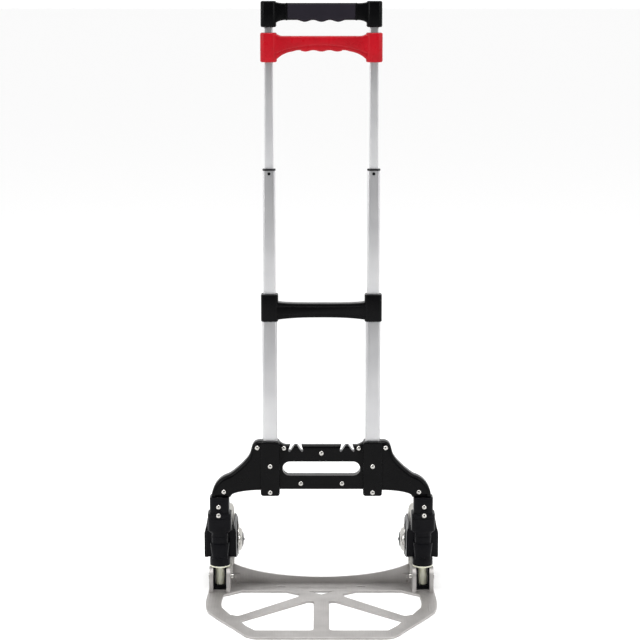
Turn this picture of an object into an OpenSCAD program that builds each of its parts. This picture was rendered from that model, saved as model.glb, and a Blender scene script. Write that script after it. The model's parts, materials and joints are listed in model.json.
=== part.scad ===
/* [Overall] */
// Height from the floor to the top of the handle, all stages out
total_h = 991; // [960:1:1060]
// Distance between the centres of the two tube columns
tube_pitch = 171.6; // [150:0.2:210]
// Distance between the axes of the two swivel legs
leg_pitch = 343; // [325:1:420]

/* [Tubes] */
// Width of a lower tube
lower_w = 24.5; // [23:0.1:27]
// Depth of a lower tube
lower_d = 18; // [17:0.1:21]
// Width of a middle tube
middle_w = 19.9; // [18.5:0.1:20.5]
// Depth of a middle tube
middle_d = 14; // [13:0.1:14.5]
// Width of an upper tube
upper_w = 14.3; // [13:0.1:15.5]
// Depth of an upper tube
upper_d = 9.6; // [9.2:0.1:10.2]
// Wall of every tube
tube_wall = 1.1; // [0.9:0.05:1.2]
// Gap between a sliding tube and its guide, all round
slide_gap = 0.25; // [0.2:0.05:0.35]
// Length of tube that stays inside the tube below when a stage is out
stage_overlap = 66; // [62:1:80]
// How far the middle stage slides down
middle_travel = 195; // [150:1:196]
// How far the upper stage slides down
upper_travel = 170; // [140:1:172]

/* [Handle] */
// Height of the handle's ears
ear_h = 42; // [38:1:50]
// Width of an ear round its tube
ear_w = 25.4; // [24:0.1:30]
// Depth of the ears, front to back
ear_d = 27; // [25:0.5:30]
// Height of the grip
grip_h = 30; // [26:0.5:32]
// Depth of the grip
grip_d = 24; // [22:0.5:26]
// Distance between finger bumps
finger_pitch = 27; // [24:0.5:30]
// Height of the release bar's ears
release_ear_h = 47.5; // [44:0.5:52]
// Gap between the release bar's ears and the handle's ears
release_gap = 8.8; // [8:0.1:12]
// How far the release bar is squeezed up
release_travel = 6; // [4:0.5:7]

/* [Frame] */
// Height of the frame's lower edge above the floor
frame_z = 178.5; // [176:0.5:186]
// Height of the frame's beam
frame_h = 77; // [72:1:84]
// Depth of the frame, both shells together
frame_d = 26; // [25:1:30]
// How far the beam's faces stand back from the arms'
beam_in = 4; // [3:0.1:5]
// Wall of the shells
shell_wall = 2.5; // [2:0.1:3]
// Length of the carry slot
slot_w = 130; // [100:1:132]
// Height of the carry slot
slot_h = 24; // [20:1:28]
// Height of the cross-bar's sockets
crossbar_h = 45.5; // [42:0.5:50]
// Height of the cross-bar's top above the floor
crossbar_z = 511.5; // [505:0.5:520]

/* [Legs and forks] */
// Diameter of a leg's spindle
spindle_d = 18; // [16:0.5:19]
// Diameter of the spindle's thin lower end
tail_d = 8; // [7:0.5:8.5]
// Outer diameter of a cam barrel
barrel_d = 16; // [15.6:0.1:16.4]
// Running clearance of shafts in their bores, on the radius
run_gap = 0.05; // [0.02:0.01:0.09]
// Width over the two cheeks of a fork
fork_w = 54; // [52:0.5:60]
// Thickness of a fork cheek
cheek_t = 5.5; // [4.5:0.1:6]

/* [Wheels] */
// Diameter of a wheel
wheel_d = 127; // [116:1:130]
// Width of a wheel
wheel_w = 38; // [32:0.5:39]
// Distance from the leg's axis back to the wheel's axle
axle_back = 98; // [95:0.5:104]
// Diameter of an axle
axle_d = 10; // [8:0.5:11]

/* [Toe plate] */
// Thickness of the toe plate
plate_t = 4; // [3:0.1:4.5]
// Reach of the toe plate in front of the legs' axes
plate_reach = 256; // [250:1:300]
// Overhang of the toe plate beside a leg's axis
plate_side = 19; // [18.5:0.5:24]
// Height of the hinge axis above the floor
hinge_z = 28; // [27:0.1:29]
// Distance of the hinge axis in front of the legs' axes
hinge_front = 6; // [5:0.1:7]
// Thickness of the hinge brackets' ears
bracket_t = 6.5; // [5:0.1:7]
// Radius of the ears round the hinge axis
bracket_r = 17; // [15:0.1:17.2]

/* [Hidden] */

black = [0.09, 0.09, 0.1];
red = [0.75, 0.13, 0.18];
tube_silver = [0.8, 0.8, 0.8];
plate_silver = [0.69, 0.68, 0.67];
nickel = [0.85, 0.84, 0.82];
nylon = [0.84, 0.84, 0.76];
tyre_grey = [0.68, 0.68, 0.66];

tube_x = tube_pitch / 2;
leg_x = leg_pitch / 2;
wheel_r = wheel_d / 2;
// the origin lies under the middle of the whole box, so the legs stand behind it
leg_y = (plate_reach - axle_back - wheel_r) / 2;

// stages
tab_drop = 8.7;
lower_tube_z = frame_z - tab_drop;
lower_tube_top = crossbar_z - 3.5;
middle_tube_z = lower_tube_top - stage_overlap;
junction_z = 718.8;
lip_t = 2.3;
middle_tube_top = junction_z - lip_t;
upper_tube_z = middle_tube_top - stage_overlap;
bush_l = 35;
glide_l = 14;
nub_drop = 5.2;
nub_d = 5;
clip_above_glide = 4;
clip_d = 5;
clip_gap = 0.3;

// handle
handle_ear_z = total_h - ear_h;
upper_tube_top = total_h - 9;
grip_top = total_h - 3.5;
grip_mid_z = grip_top - grip_h / 2;
insert_w = 128;
core_inset = 4;
screw_z = handle_ear_z + 12;
screw_d = 4;
release_ear_top = handle_ear_z - release_gap;
release_ear_z = release_ear_top - release_ear_h;
release_top = release_ear_top - 5.4;
release_pin_z = release_ear_z + 23;
release_pin_d = 3;
rod_d = 5;
rod_top = release_pin_z + 7;
clip_z = upper_tube_z + glide_l + clip_above_glide + clip_d / 2;
rod_z = clip_z + 12;
spring_d = 6;
spring_wire = 0.9;

// frame
frame_top = frame_z + frame_h;
half_frame = frame_d / 2;
band_w = lower_w + 7.5;
band_out = 3;
fit_gap = 0.1;
leg_out = 14.2;
leg_in = 18.5;
leg_end_z = frame_z - 12;
slot_z = frame_z + 37.5;
notch_deep = 10.5;
notch_x = [tube_x - 53.2, tube_x - 32.3];
boss_side = band_w / 2 + 6.9;
rivet_d = 4;
rivet_head_d = 8.4;
rivet_head_h = 2.6;
boss_d = 9;
leg_rivet_in = 7.7;

// legs
sleeve_w = spindle_d + 14.6;
sleeve_d = 32;
sleeve_flange_z = leg_end_z - 27.7;
knuckle_w = spindle_d + 21.7;
knuckle_d = 38;
knuckle_top = sleeve_flange_z - 7.9;
knuckle_z = 104;
flange_z = sleeve_flange_z - 7.5;
neck_w = spindle_d + 9;
collar_top = 60;
collar_z = 47.5;
collar_d = spindle_d + 16.6;
bush_wall = 2;
swivel_bush_l = 14;
barrel_flange_t = 1.9;
barrel_z = 13.8;
yoke_side = 10.9;
yoke_wall = 2.4;
bridge_z = 8;
bridge_top = barrel_z - 0.4;
pin_d = 6;
ear_in = yoke_side + 0.3;
ear_out = ear_in + bracket_t;
peg_r = 8;
peg_d = 4;
peg_gap = 0.4;
peg_tip = 5.9;
fold = 90;
strap_t = 2.5;

// wheels
tyre_t = 15.5;
cheek_r = 26;
cheek_top = 113;
cheek_bend = 99;
cheek_lean = 4;
wheel_gap = 3.5;
cap_rim_t = 1.4;
cap_h = 7.5;
cap_r = 26.5;
cap_dome_r = 20.8;
cap_centre_r = 13;

// foot, plate and grip details
lower_r = 4;
middle_r = 3.4;
upper_r = 2.8;
middle_clip_z = middle_tube_z + glide_l + clip_above_glide;
frame_rivet_z = [frame_z + 42.5, frame_z - 2.5];
crossbar_d = 25;
crossbar_mid = 25;
frame_outline = let (half = frame_half()) concat(no_end(half), [for (p = no_end(mirrored(half))) p]);
slot_outline = reversed(round_rect(slot_w, slot_h, slot_h / 2 - 0.01, 8));
// the rivets through the arms and those through the thinner beam between the bands
arm_rivet_places = [for (side = [-1, 1]) [side * (tube_x + 21.4), frame_top - 3.2]];
beam_rivet_places = [
    [tube_x - boss_side, frame_top - 4.8], [boss_side - tube_x, frame_top - 4.8],
    [0, frame_top - 13.3], [34.6, frame_z + 11.5], [-34.6, frame_z + 11.5]];
tube_rivet_places = [for (z = frame_rivet_z) for (side = [-1, 1]) [side * tube_x, z]];
leg_rivet_places = [for (side = [-1, 1]) [side * (leg_x - leg_rivet_in), leg_end_z + 9.8]];
leg_rivet_z = [leg_end_z - 15.8, sleeve_flange_z - 2];
spindle_top = leg_end_z + 15;
flange_y = 33;
flange_t = 3;
flange_end_z = 38;
flange_mid_z = 7;
plate_back = flange_y + flange_t;
rim = 36.5;
strap_rivet_x = [-6, 6];
strap_rivet_y = 20;
tab_t = 3;
tab_w = 14;
tab_rivet_x = -ear_out - 7;
tab_h = 17;
tab_rivet_z = [8.5, 16];

// points of an arc about c, from angle a to angle b
function arc(c, r, a, b, n = 6) =
    [for (i = [0:n]) c + r * [cos(a + (b - a) * i / n), sin(a + (b - a) * i / n)]];

// points of a cubic curve
function curve(p, q, s, t, n = 8) =
    [for (i = [0:n]) let (u = i / n, v = 1 - u)
        v * v * v * p + 3 * v * v * u * q + 3 * v * u * u * s + u * u * u * t];

// outline of a rounded rectangle about the origin
function round_rect(w, d, r, n = 5) = concat(
    arc([w / 2 - r, d / 2 - r], r, 0, 90, n),
    arc([r - w / 2, d / 2 - r], r, 90, 180, n),
    arc([r - w / 2, r - d / 2], r, 180, 270, n),
    arc([w / 2 - r, r - d / 2], r, 270, 360, n));

function reversed(list) = [for (i = [len(list) - 1:-1:0]) list[i]];

function mirrored(list) = [for (p = reversed(list)) [-p[0], p[1]]];

// an outline that runs clockwise, moved inwards by t
function inset(pts, t) = [for (i = [0:len(pts) - 1]) let (
    a = pts[(i + len(pts) - 1) % len(pts)], b = pts[i], c = pts[(i + 1) % len(pts)],
    u = (b - a) / norm(b - a), v = (c - b) / norm(c - b),
    m = [u[1] + v[1], -u[0] - v[0]], k = m * m)
    b + m * (2 * t / k)];

module placed() {
    translate([0, leg_y, 0]) children();
}

// what stands on the right leg's axis, for side 1, and its mirror image for side -1
module on_leg(side) {
    placed() mirror([side < 0 ? 1 : 0, 0, 0]) translate([leg_x, 0, 0]) children();
}

module on_tube(side) {
    placed() translate([side * tube_x, 0, 0]) children();
}

// draws an outline of x and z, from front to back
module upright(front, back) {
    translate([0, back, 0]) rotate([90, 0, 0]) linear_extrude(back - front) children();
}

// draws an outline of y and z, from one side to the other
module sideways(from, to) {
    translate([from, 0, 0]) rotate([90, 0, 90]) linear_extrude(to - from) children();
}

module rod_y(d, front, back) {
    translate([0, back, 0]) rotate([90, 0, 0]) cylinder(d = d, h = back - front, $fn = 32);
}

module rod_x(d, from, to) {
    translate([from, 0, 0]) rotate([0, 90, 0]) cylinder(d = d, h = to - from, $fn = 48);
}

module bar(w, d, r, low, high) {
    translate([0, 0, low]) linear_extrude(high - low) polygon(round_rect(w, d, r));
}

module tube(w, d, r, low, high) {
    difference() {
        bar(w, d, r, low, high);
        bar(w - 2 * tube_wall, d - 2 * tube_wall, r - tube_wall * 0.8, low - 1, high + 1);
    }
}

module upper_tube(side) {
    slot_l = release_travel + release_pin_d + 1;
    color(tube_silver) on_tube(side) difference() {
        tube(upper_w, upper_d, upper_r, upper_tube_z, upper_tube_top);
        translate([0, 0, release_pin_z + release_travel / 2])
            cube([release_pin_d + 0.6, upper_d * 2, slot_l], center = true);
        translate([0, 0, screw_z]) rod_y(screw_d, -upper_d, upper_d);
        translate([0, 0, clip_z]) rod_y(clip_d + 2 * clip_gap, 0, upper_d);
    }
}

module middle_tube(side) {
    color(tube_silver) on_tube(side) difference() {
        tube(middle_w, middle_d, middle_r, middle_tube_z, middle_tube_top);
        translate([0, 0, junction_z - nub_drop - lip_t]) rod_y(nub_d, -middle_d, 0);
        translate([0, 0, clip_z]) rod_y(clip_d + 2 * clip_gap, 0, middle_d);
        translate([0, 0, middle_clip_z]) rod_y(clip_d + 2 * clip_gap, 0, middle_d);
    }
}

module lower_tube(side) {
    color(tube_silver) on_tube(side) difference() {
        tube(lower_w, lower_d, lower_r, lower_tube_z, lower_tube_top);
        translate([0, 0, middle_clip_z]) rod_y(clip_d + 2 * clip_gap, 0, lower_d);
        for (z = frame_rivet_z) translate([0, 0, z]) rod_y(rivet_d, -lower_d, lower_d);
        translate([0, 0, crossbar_z - crossbar_h / 2]) rod_y(screw_d, 0, lower_d);
    }
}

// a guide bush in the top of an outer tube, round an inner one
module bush(outer_w, outer_d, outer_r, inner_w, inner_d, inner_r, top, lip, lip_out) {
    difference() {
        union() {
            bar(outer_w - 2 * tube_wall, outer_d - 2 * tube_wall, outer_r - tube_wall * 0.8,
                top - bush_l, top);
            bar(outer_w + 2 * lip_out, outer_d + 2 * lip_out, outer_r + lip_out, top, top + lip);
        }
        bar(inner_w + 2 * slide_gap, inner_d + 2 * slide_gap, inner_r + slide_gap,
            top - bush_l - 1, top + lip + 1);
    }
}

module middle_tube_bushes() {
    color(black) for (side = [-1, 1]) on_tube(side) {
        bush(middle_w, middle_d, middle_r, upper_w, upper_d, upper_r, middle_tube_top, lip_t, 0.8);
        translate([0, 0, junction_z - nub_drop - lip_t])
            rod_y(nub_d, -middle_d / 2 - 0.8, tube_wall - middle_d / 2);
    }
}

module lower_tube_bushes() {
    color(black) for (side = [-1, 1]) on_tube(side)
        bush(lower_w, lower_d, lower_r, middle_w, middle_d, middle_r, lower_tube_top,
            crossbar_z - lower_tube_top, 0);
}

// a guide collar on the bottom of an inner tube, with a floor under the tube
module glide(outer_w, outer_d, outer_r, inner_w, inner_d, inner_r, bottom) {
    floor_t = 2;
    shrink = tube_wall + slide_gap;
    difference() {
        bar(outer_w - 2 * shrink, outer_d - 2 * shrink, outer_r - shrink * 0.8,
            bottom - floor_t, bottom + glide_l);
        bar(inner_w, inner_d, inner_r, bottom, bottom + glide_l + 1);
        bar(inner_w - 4 * tube_wall, inner_d - 4 * tube_wall, 1, bottom - floor_t - 1, bottom + 1);
    }
}

module upper_tube_glides() {
    color(black) for (side = [-1, 1]) on_tube(side)
        glide(middle_w, middle_d, middle_r, upper_w, upper_d, upper_r, upper_tube_z);
}

module middle_tube_glides() {
    color(black) for (side = [-1, 1]) on_tube(side)
        glide(lower_w, lower_d, lower_r, middle_w, middle_d, middle_r, middle_tube_z);
}

// a bent spring leaf inside a tube, with a button that ends flush with the outer tube
module lock_clip(inner_d, outer_d, z) {
    leaf_w = 5;
    leaf_t = 0.6;
    back = inner_d / 2 - tube_wall - 0.1;
    translate([-leaf_w / 2, back - leaf_t, z - 5]) cube([leaf_w, leaf_t, 24]);
    translate([0, 0, z]) rod_y(clip_d, back - leaf_t, outer_d / 2);
}

module upper_lock_clips() {
    color(nickel) for (side = [-1, 1]) on_tube(side) lock_clip(upper_d, middle_d, clip_z);
}

module middle_lock_clips() {
    color(nickel) for (side = [-1, 1]) on_tube(side) lock_clip(middle_d, lower_d, middle_clip_z);
}

// the underside of a grip, with finger bumps, from left to right
function finger_line(half, z, depth, n) =
    [for (i = [0:n]) let (x = -half + 2 * half * i / n)
        [x, z + depth * (abs(x) < 1.5 * finger_pitch ? (1 - cos(360 * x / finger_pitch)) / 2 : 1)]];

module grip_core(grow) {
    rotate([90, 0, 90]) translate([0, grip_mid_z, -tube_x]) linear_extrude(2 * tube_x)
        polygon(round_rect(grip_d - 2 * core_inset + 2 * grow, grip_h - 2 * core_inset - 3 + 2 * grow, 4));
}

module handle_body() {
    flare = tube_x - ear_w / 2;
    color(black) placed() difference() {
        union() {
            for (side = [-1, 1]) translate([side * tube_x, 0, 0])
                bar(ear_w, ear_d, 6, handle_ear_z, total_h);
            grip_core(0);
            for (side = [-1, 1]) mirror([side < 0 ? 1 : 0, 0, 0]) upright(-grip_d / 2, grip_d / 2)
                polygon([[insert_w / 2, grip_top], [insert_w / 2, grip_top - grip_h + 3],
                    [flare + 1, handle_ear_z + 8], [flare + 1, total_h - 2]]);
        }
        for (side = [-1, 1]) translate([side * tube_x, 0, 0]) {
            bar(upper_w, upper_d, upper_r, handle_ear_z - 1, upper_tube_top);
            translate([0, 0, screw_z]) rod_y(screw_d, -ear_d, ear_d);
        }
    }
}

module grip_insert() {
    low = grip_top - grip_h;
    color([0.13, 0.12, 0.15]) placed() difference() {
        upright(-grip_d / 2, grip_d / 2) polygon(concat(
            finger_line(insert_w / 2, low, 3, 64),
            [[insert_w / 2, grip_top], [-insert_w / 2, grip_top]]));
        grip_core(0);
    }
}

module screw(z, front, back, head) {
    translate([0, 0, z]) {
        rod_y(screw_d, front, back);
        rod_y(screw_d * 1.8, back, back + head);
    }
}

module handle_screws() {
    color(nickel) for (side = [-1, 1]) on_tube(side) screw(screw_z, -ear_d / 2 + 2, ear_d / 2, 1.6);
}

module cross_bar_screws() {
    color(nickel) for (side = [-1, 1]) on_tube(side)
        screw(crossbar_z - crossbar_h / 2, lower_d / 2 - tube_wall, crossbar_d / 2, 1.6);
}

module release_bar() {
    half = tube_x - 13.5;
    arch = release_top - 25;
    color(red) placed() difference() {
        union() {
            for (side = [-1, 1]) translate([side * tube_x, 0, 0])
                bar(27, ear_d, 7, release_ear_z, release_ear_top);
            upright(1 - ear_d / 2, ear_d / 2 - 1) polygon(concat(
                [[-half - 1, release_ear_z + 4]],
                curve([-61, arch - 4], [-54, arch - 1], [-50, arch + 1], [-45, arch + 1.5], 4),
                [for (p = finger_line(1.25 * finger_pitch + 4, arch, 2.2, 36)) p],
                curve([45, arch + 1.5], [50, arch + 1], [54, arch - 1], [61, arch - 4], 4),
                [[half + 1, release_ear_z + 4], [half + 1, release_ear_top - 1],
                    [half - 8, release_top], [8 - half, release_top],
                    [-half - 1, release_ear_top - 1]]));
        }
        for (side = [-1, 1]) translate([side * tube_x, 0, 0]) {
            bar(upper_w + 2 * slide_gap, upper_d + 2 * slide_gap, upper_r + slide_gap,
                release_ear_z - 1, release_ear_top + 1);
            translate([0, 0, release_pin_z]) rod_y(release_pin_d, 3 - ear_d / 2, ear_d / 2 - 3);
        }
    }
}

module release_pins() {
    color(nickel) for (side = [-1, 1]) on_tube(side)
        translate([0, 0, release_pin_z]) rod_y(release_pin_d, 3 - ear_d / 2, ear_d / 2 - 3);
}

module release_rods() {
    color(nickel) for (side = [-1, 1]) on_tube(side) difference() {
        translate([0, 0, rod_z]) cylinder(d = rod_d, h = rod_top - rod_z, $fn = 32);
        translate([0, 0, release_pin_z]) rod_y(release_pin_d, -rod_d, rod_d);
    }
}

// a round wire wound as a coil about the vertical
module coil(d, wire, low, high, turns) {
    steps = 12;
    sides = 6;
    rings = turns * steps;
    mean = (d - wire) / 2;
    rise = high - low - wire;
    points = [for (i = [0:rings]) for (k = [0:sides - 1]) let (
        a = 360 * i / steps, t = 360 * k / sides, r = mean + wire / 2 * cos(t))
        [r * cos(a), r * sin(a), low + wire / 2 + rise * i / rings + wire / 2 * sin(t)]];
    walls = [for (i = [0:rings - 1]) for (k = [0:sides - 1]) let (m = (k + 1) % sides)
        [i * sides + k, i * sides + m, (i + 1) * sides + m, (i + 1) * sides + k]];
    first = [for (k = [sides - 1:-1:0]) k];
    last = [for (k = [0:sides - 1]) rings * sides + k];
    polyhedron(points, [for (f = concat(walls, [first, last])) reversed(f)]);
}

module release_springs() {
    color(nickel) for (side = [-1, 1]) on_tube(side)
        coil(spring_d, spring_wire, rod_top, screw_z - screw_d / 2, 9);
}

module cross_bar() {
    low = crossbar_z - crossbar_h;
    color(black) placed() difference() {
        union() {
            for (side = [-1, 1]) translate([side * tube_x, 0, 0])
                bar(lower_w + 4, crossbar_d, 5, low, crossbar_z);
            upright(-crossbar_d / 2 + 2, crossbar_d / 2 - 2) polygon(concat(
                curve([-tube_x + 13, low + 7], [-40, low + 9.5], [40, low + 9.5],
                    [tube_x - 13, low + 7], 12),
                [[tube_x - 13, low + 8 + crossbar_mid], [13 - tube_x, low + 8 + crossbar_mid]]));
        }
        for (side = [-1, 1]) translate([side * tube_x, 0, 0]) {
            bar(lower_w, lower_d, lower_r, low - 1, crossbar_z + 1);
            translate([0, 0, crossbar_z - crossbar_h / 2]) rod_y(screw_d, 0, crossbar_d);
        }
    }
}

// the right half of the frame's outline, clockwise from the middle of its top
function frame_half() = let (
    band = tube_x + band_w / 2 + 1.5, out = leg_x + leg_out, low = leg_end_z) concat(
    [[0, frame_top], [tube_x - 25, frame_top], [tube_x - 16, frame_top + 6.5]],
    curve([band, frame_top + 8], [band + 9, frame_top + 7.5], [band + 11.5, frame_top + 3],
        [band + 13.5, frame_top - 3], 5),
    curve([band + 16, frame_top - 13], [band + 20, frame_top - 24], [leg_x - 33, frame_top - 38],
        [leg_x - 19.5, frame_top - 48], 7),
    curve([leg_x - 16, frame_top - 50], [leg_x + 4, frame_top - 57], [out - 4, frame_z + 8],
        [out, low], 10),
    [[leg_x - leg_in, low]],
    curve([leg_x - leg_in - 3, low + 4.5], [leg_x - 30, frame_z - 3],
        [leg_x - 48, frame_z - 0.5], [tube_x + 15, frame_z], 7),
    [[0, frame_z]]);

function no_end(list) = [for (i = [0:len(list) - 2]) list[i]];

// a notch for a cord's hook, cut down from the frame's top edge
module notch(foot, lean) {
    w = 2.2;
    top_w = w + 3;
    polygon([[foot - lean - top_w, frame_top + 9], [foot - lean + top_w, frame_top + 9],
        [foot + w, frame_top - notch_deep], [foot - w, frame_top - notch_deep]]);
}

// the beam between the two bands, seen from the front
module beam_face() {
    half = tube_x - band_w / 2;
    translate([-half, leg_end_z]) square([2 * half, frame_h + 40]);
}

module frame_window() {
    translate([0, slot_z]) polygon(slot_outline);
    for (side = [-1, 1]) {
        notch(side * notch_x[0], -side * 9);
        notch(side * notch_x[1], side * 10);
    }
}

module frame_shell(front, back, wall_front, band_front, band_back) {
    difference() {
        union() {
            difference() {
                upright(front, back) polygon(frame_outline);
                difference() {
                    upright(wall_front, wall_front + half_frame)
                        polygon(inset(frame_outline, shell_wall));
                    upright(front, wall_front + beam_in) beam_face();
                }
            }
            intersection() {
                upright(front, back) polygon(frame_outline);
                union() {
                    upright(front, back) translate([0, slot_z]) polygon(inset(slot_outline, -shell_wall));
                    for (side = [-1, 1]) upright(front, back) {
                        notch_wall(side * notch_x[0], -side * 5);
                        notch_wall(side * notch_x[1], side * 5);
                    }
                    for (p = concat(arm_rivet_places, beam_rivet_places, leg_rivet_places))
                        translate([p[0], 0, p[1]]) rod_y(boss_d, front, back);
                    for (side = [-1, 1]) translate([side * leg_x, 0, leg_end_z])
                        cylinder(d = spindle_d + 7, h = 38, $fn = 48);
                }
            }
            for (side = [-1, 1]) upright(band_front, band_back)
                translate([side * tube_x - band_w / 2, lower_tube_z])
                    square([band_w, frame_top + 7.5 - lower_tube_z]);
        }
        upright(-frame_d, frame_d) frame_window();
        upright(front - 1, front + beam_in) beam_face();
        for (side = [-1, 1]) {
            translate([side * tube_x, 0, 0])
                bar(lower_w, lower_d, lower_r, lower_tube_z - 1, frame_top + 20);
            translate([side * leg_x, 0, leg_end_z - 1])
                cylinder(d = spindle_d, h = 34, $fn = 64);
        }
        for (p = concat(arm_rivet_places, beam_rivet_places, tube_rivet_places, leg_rivet_places))
            translate([p[0], 0, p[1]]) rod_y(rivet_d, -frame_d, frame_d);
    }
}

module notch_wall(foot, lean) {
    w = 4.7;
    low = frame_top - notch_deep - shell_wall;
    polygon([[foot - lean - w - 1.5, frame_top], [foot - lean + w + 1.5, frame_top],
        [foot + w, low], [foot - w, low]]);
}

module frame_front_shell() {
    color(black) placed() frame_shell(-half_frame, 0, shell_wall - half_frame,
        -half_frame - band_out, 0);
}

module frame_rear_shell() {
    color(black) placed() mirror([0, 1, 0]) frame_shell(-half_frame, 0, shell_wall - half_frame,
        -half_frame - band_out, 0);
}

// a domed rivet head on a plane that faces the front
module rivet_head(front) {
    r = rivet_head_d / 2;
    translate([0, front, 0]) rotate([90, 0, 0]) rotate_extrude($fn = 24)
        polygon(concat([[0, 0]], [for (i = [0:4]) let (a = 18 * i) [r * cos(a), rivet_head_h * sin(a)]],
            [[0, rivet_head_h * 0.8]]));
}

module rivet(front, back) {
    rod_y(rivet_d, front, back);
    rivet_head(front);
    mirror([0, 1, 0]) rivet_head(-back);
}

module frame_rivets() {
    color(nickel) placed() {
        for (p = concat(arm_rivet_places, leg_rivet_places))
            translate([p[0], 0, p[1]]) rivet(-half_frame, half_frame);
        for (p = beam_rivet_places)
            translate([p[0], 0, p[1]]) rivet(beam_in - half_frame, half_frame - beam_in);
        for (p = tube_rivet_places)
            translate([p[0], 0, p[1]]) rivet(-half_frame - band_out, half_frame + band_out);
    }
}

module leg_sleeve(side) {
    color(black) on_leg(side) difference() {
        union() {
            bar(sleeve_w, sleeve_d, 7, sleeve_flange_z, leg_end_z);
            bar(knuckle_w, knuckle_d, 9, flange_z, sleeve_flange_z);
        }
        translate([0, 0, flange_z - 1]) cylinder(d = spindle_d, h = 60, $fn = 64);
        translate([1.2, 0, leg_rivet_z[0]]) rod_y(rivet_d, -knuckle_d, knuckle_d);
        translate([1.2, 0, leg_rivet_z[1]]) rod_y(rivet_d, -knuckle_d, knuckle_d);
    }
}

module leg_rivets() {
    color(nickel) for (side = [-1, 1]) on_leg(side) {
        translate([1.2, 0, leg_rivet_z[0]]) rivet(-sleeve_d / 2, sleeve_d / 2);
        translate([1.2, 0, leg_rivet_z[1]]) rivet(-knuckle_d / 2, knuckle_d / 2);
    }
}

module leg_spindle(side) {
    color(nickel) on_leg(side) difference() {
        union() {
            translate([0, 0, collar_top + 0.3])
                cylinder(d = spindle_d, h = spindle_top - collar_top - 0.3, $fn = 64);
            translate([0, 0, bridge_z + 0.2]) cylinder(d = tail_d, h = collar_top, $fn = 48);
        }
        translate([1.2, 0, leg_rivet_z[0]]) rod_y(rivet_d, -spindle_d, spindle_d);
        translate([1.2, 0, leg_rivet_z[1]]) rod_y(rivet_d, -spindle_d, spindle_d);
        translate([-leg_rivet_in, 0, leg_end_z + 9.8]) rod_y(rivet_d, -spindle_d, spindle_d);
    }
}

// the running surfaces between a spindle and its fork, one bush at each end
module swivel_bush(side) {
    bore_d = spindle_d + 2 * bush_wall;
    color(nylon) on_leg(side) for (z = [collar_top + 2, knuckle_top - swivel_bush_l])
        translate([0, 0, z]) difference() {
            cylinder(d = bore_d, h = swivel_bush_l, $fn = 64);
            translate([0, 0, -1]) cylinder(d = spindle_d + 2 * run_gap, h = swivel_bush_l + 2, $fn = 64);
        }
}

// the cheeks' outline in x and z, drawn in above the bend
function cheek_front() = let (w = fork_w / 2, top = w - cheek_lean)
    [[-w, 0], [w, 0], [w, cheek_bend], [top, cheek_top], [-top, cheek_top], [-w, cheek_bend]];

module fork_cheeks() {
    difference() {
        intersection() {
            sideways(-fork_w / 2, fork_w / 2) polygon(concat(
                [[8, collar_z + 9], [34, collar_z + 2], [axle_back - 16, wheel_r - cheek_r]],
                arc([axle_back, wheel_r], cheek_r, -80, 20, 10),
                curve([axle_back + 22, wheel_r + 16], [axle_back + 16, wheel_r + 32],
                    [axle_back + 2, cheek_top], [axle_back - 14, cheek_top], 8),
                [[24, cheek_top], [8, cheek_top - 6]]));
            upright(0, axle_back + cheek_r + 1) polygon(cheek_front());
        }
        translate([0, axle_back, wheel_r])
            rod_x(wheel_d + 2 * wheel_gap, cheek_t - fork_w / 2, fork_w / 2 - cheek_t);
    }
}

module wheel_fork(side) {
    color(black) on_leg(side) difference() {
        union() {
            bar(knuckle_w, knuckle_d, 9, knuckle_z, knuckle_top);
            bar(neck_w, 30, 7, collar_top - 1, knuckle_z + 1);
            bar(32, 33, 8, 78, 86);
            translate([0, 0, collar_z]) cylinder(d = collar_d, h = collar_top - collar_z, $fn = 64);
            fork_cheeks();
        }
        translate([0, 0, collar_top]) cylinder(d = spindle_d + 2 * bush_wall, h = 90, $fn = 64);
        translate([0, 0, collar_z - 1]) cylinder(d = tail_d + 1, h = 20, $fn = 48);
        translate([0, axle_back, wheel_r]) {
            rod_x(axle_d, -fork_w, fork_w);
            rod_x(axle_d + 9, fork_w / 2 - 3, fork_w);
        }
    }
}

// where the follower peg's axis stands when the fold has turned by a
function peg_y(a) = peg_r * cos(fold / 2 - a) - hinge_front;
function peg_z(a) = peg_r * sin(fold / 2 - a) + hinge_z;

module peg_at(a, grow) {
    translate([0, peg_y(a), peg_z(a)]) rod_x(peg_d + 2 * grow, -ear_in, grow - peg_tip);
}

module cam_barrel(side) {
    steps = 7;
    top = collar_z - barrel_flange_t;
    color(nylon) on_leg(side) difference() {
        union() {
            translate([0, 0, barrel_z]) cylinder(d = barrel_d, h = top - barrel_z + 0.5, $fn = 64);
            translate([0, 0, top]) cylinder(d = collar_d - 0.6, h = barrel_flange_t, $fn = 64);
        }
        translate([0, 0, barrel_z - 1]) cylinder(d = tail_d + 2 * run_gap, h = 50, $fn = 64);
        for (i = [0:steps - 1]) hull() {
            rotate([0, 0, -fold * i / steps]) peg_at(fold * i / steps, peg_gap);
            rotate([0, 0, -fold * (i + 1) / steps]) peg_at(fold * (i + 1) / steps, peg_gap);
        }
    }
}

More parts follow.
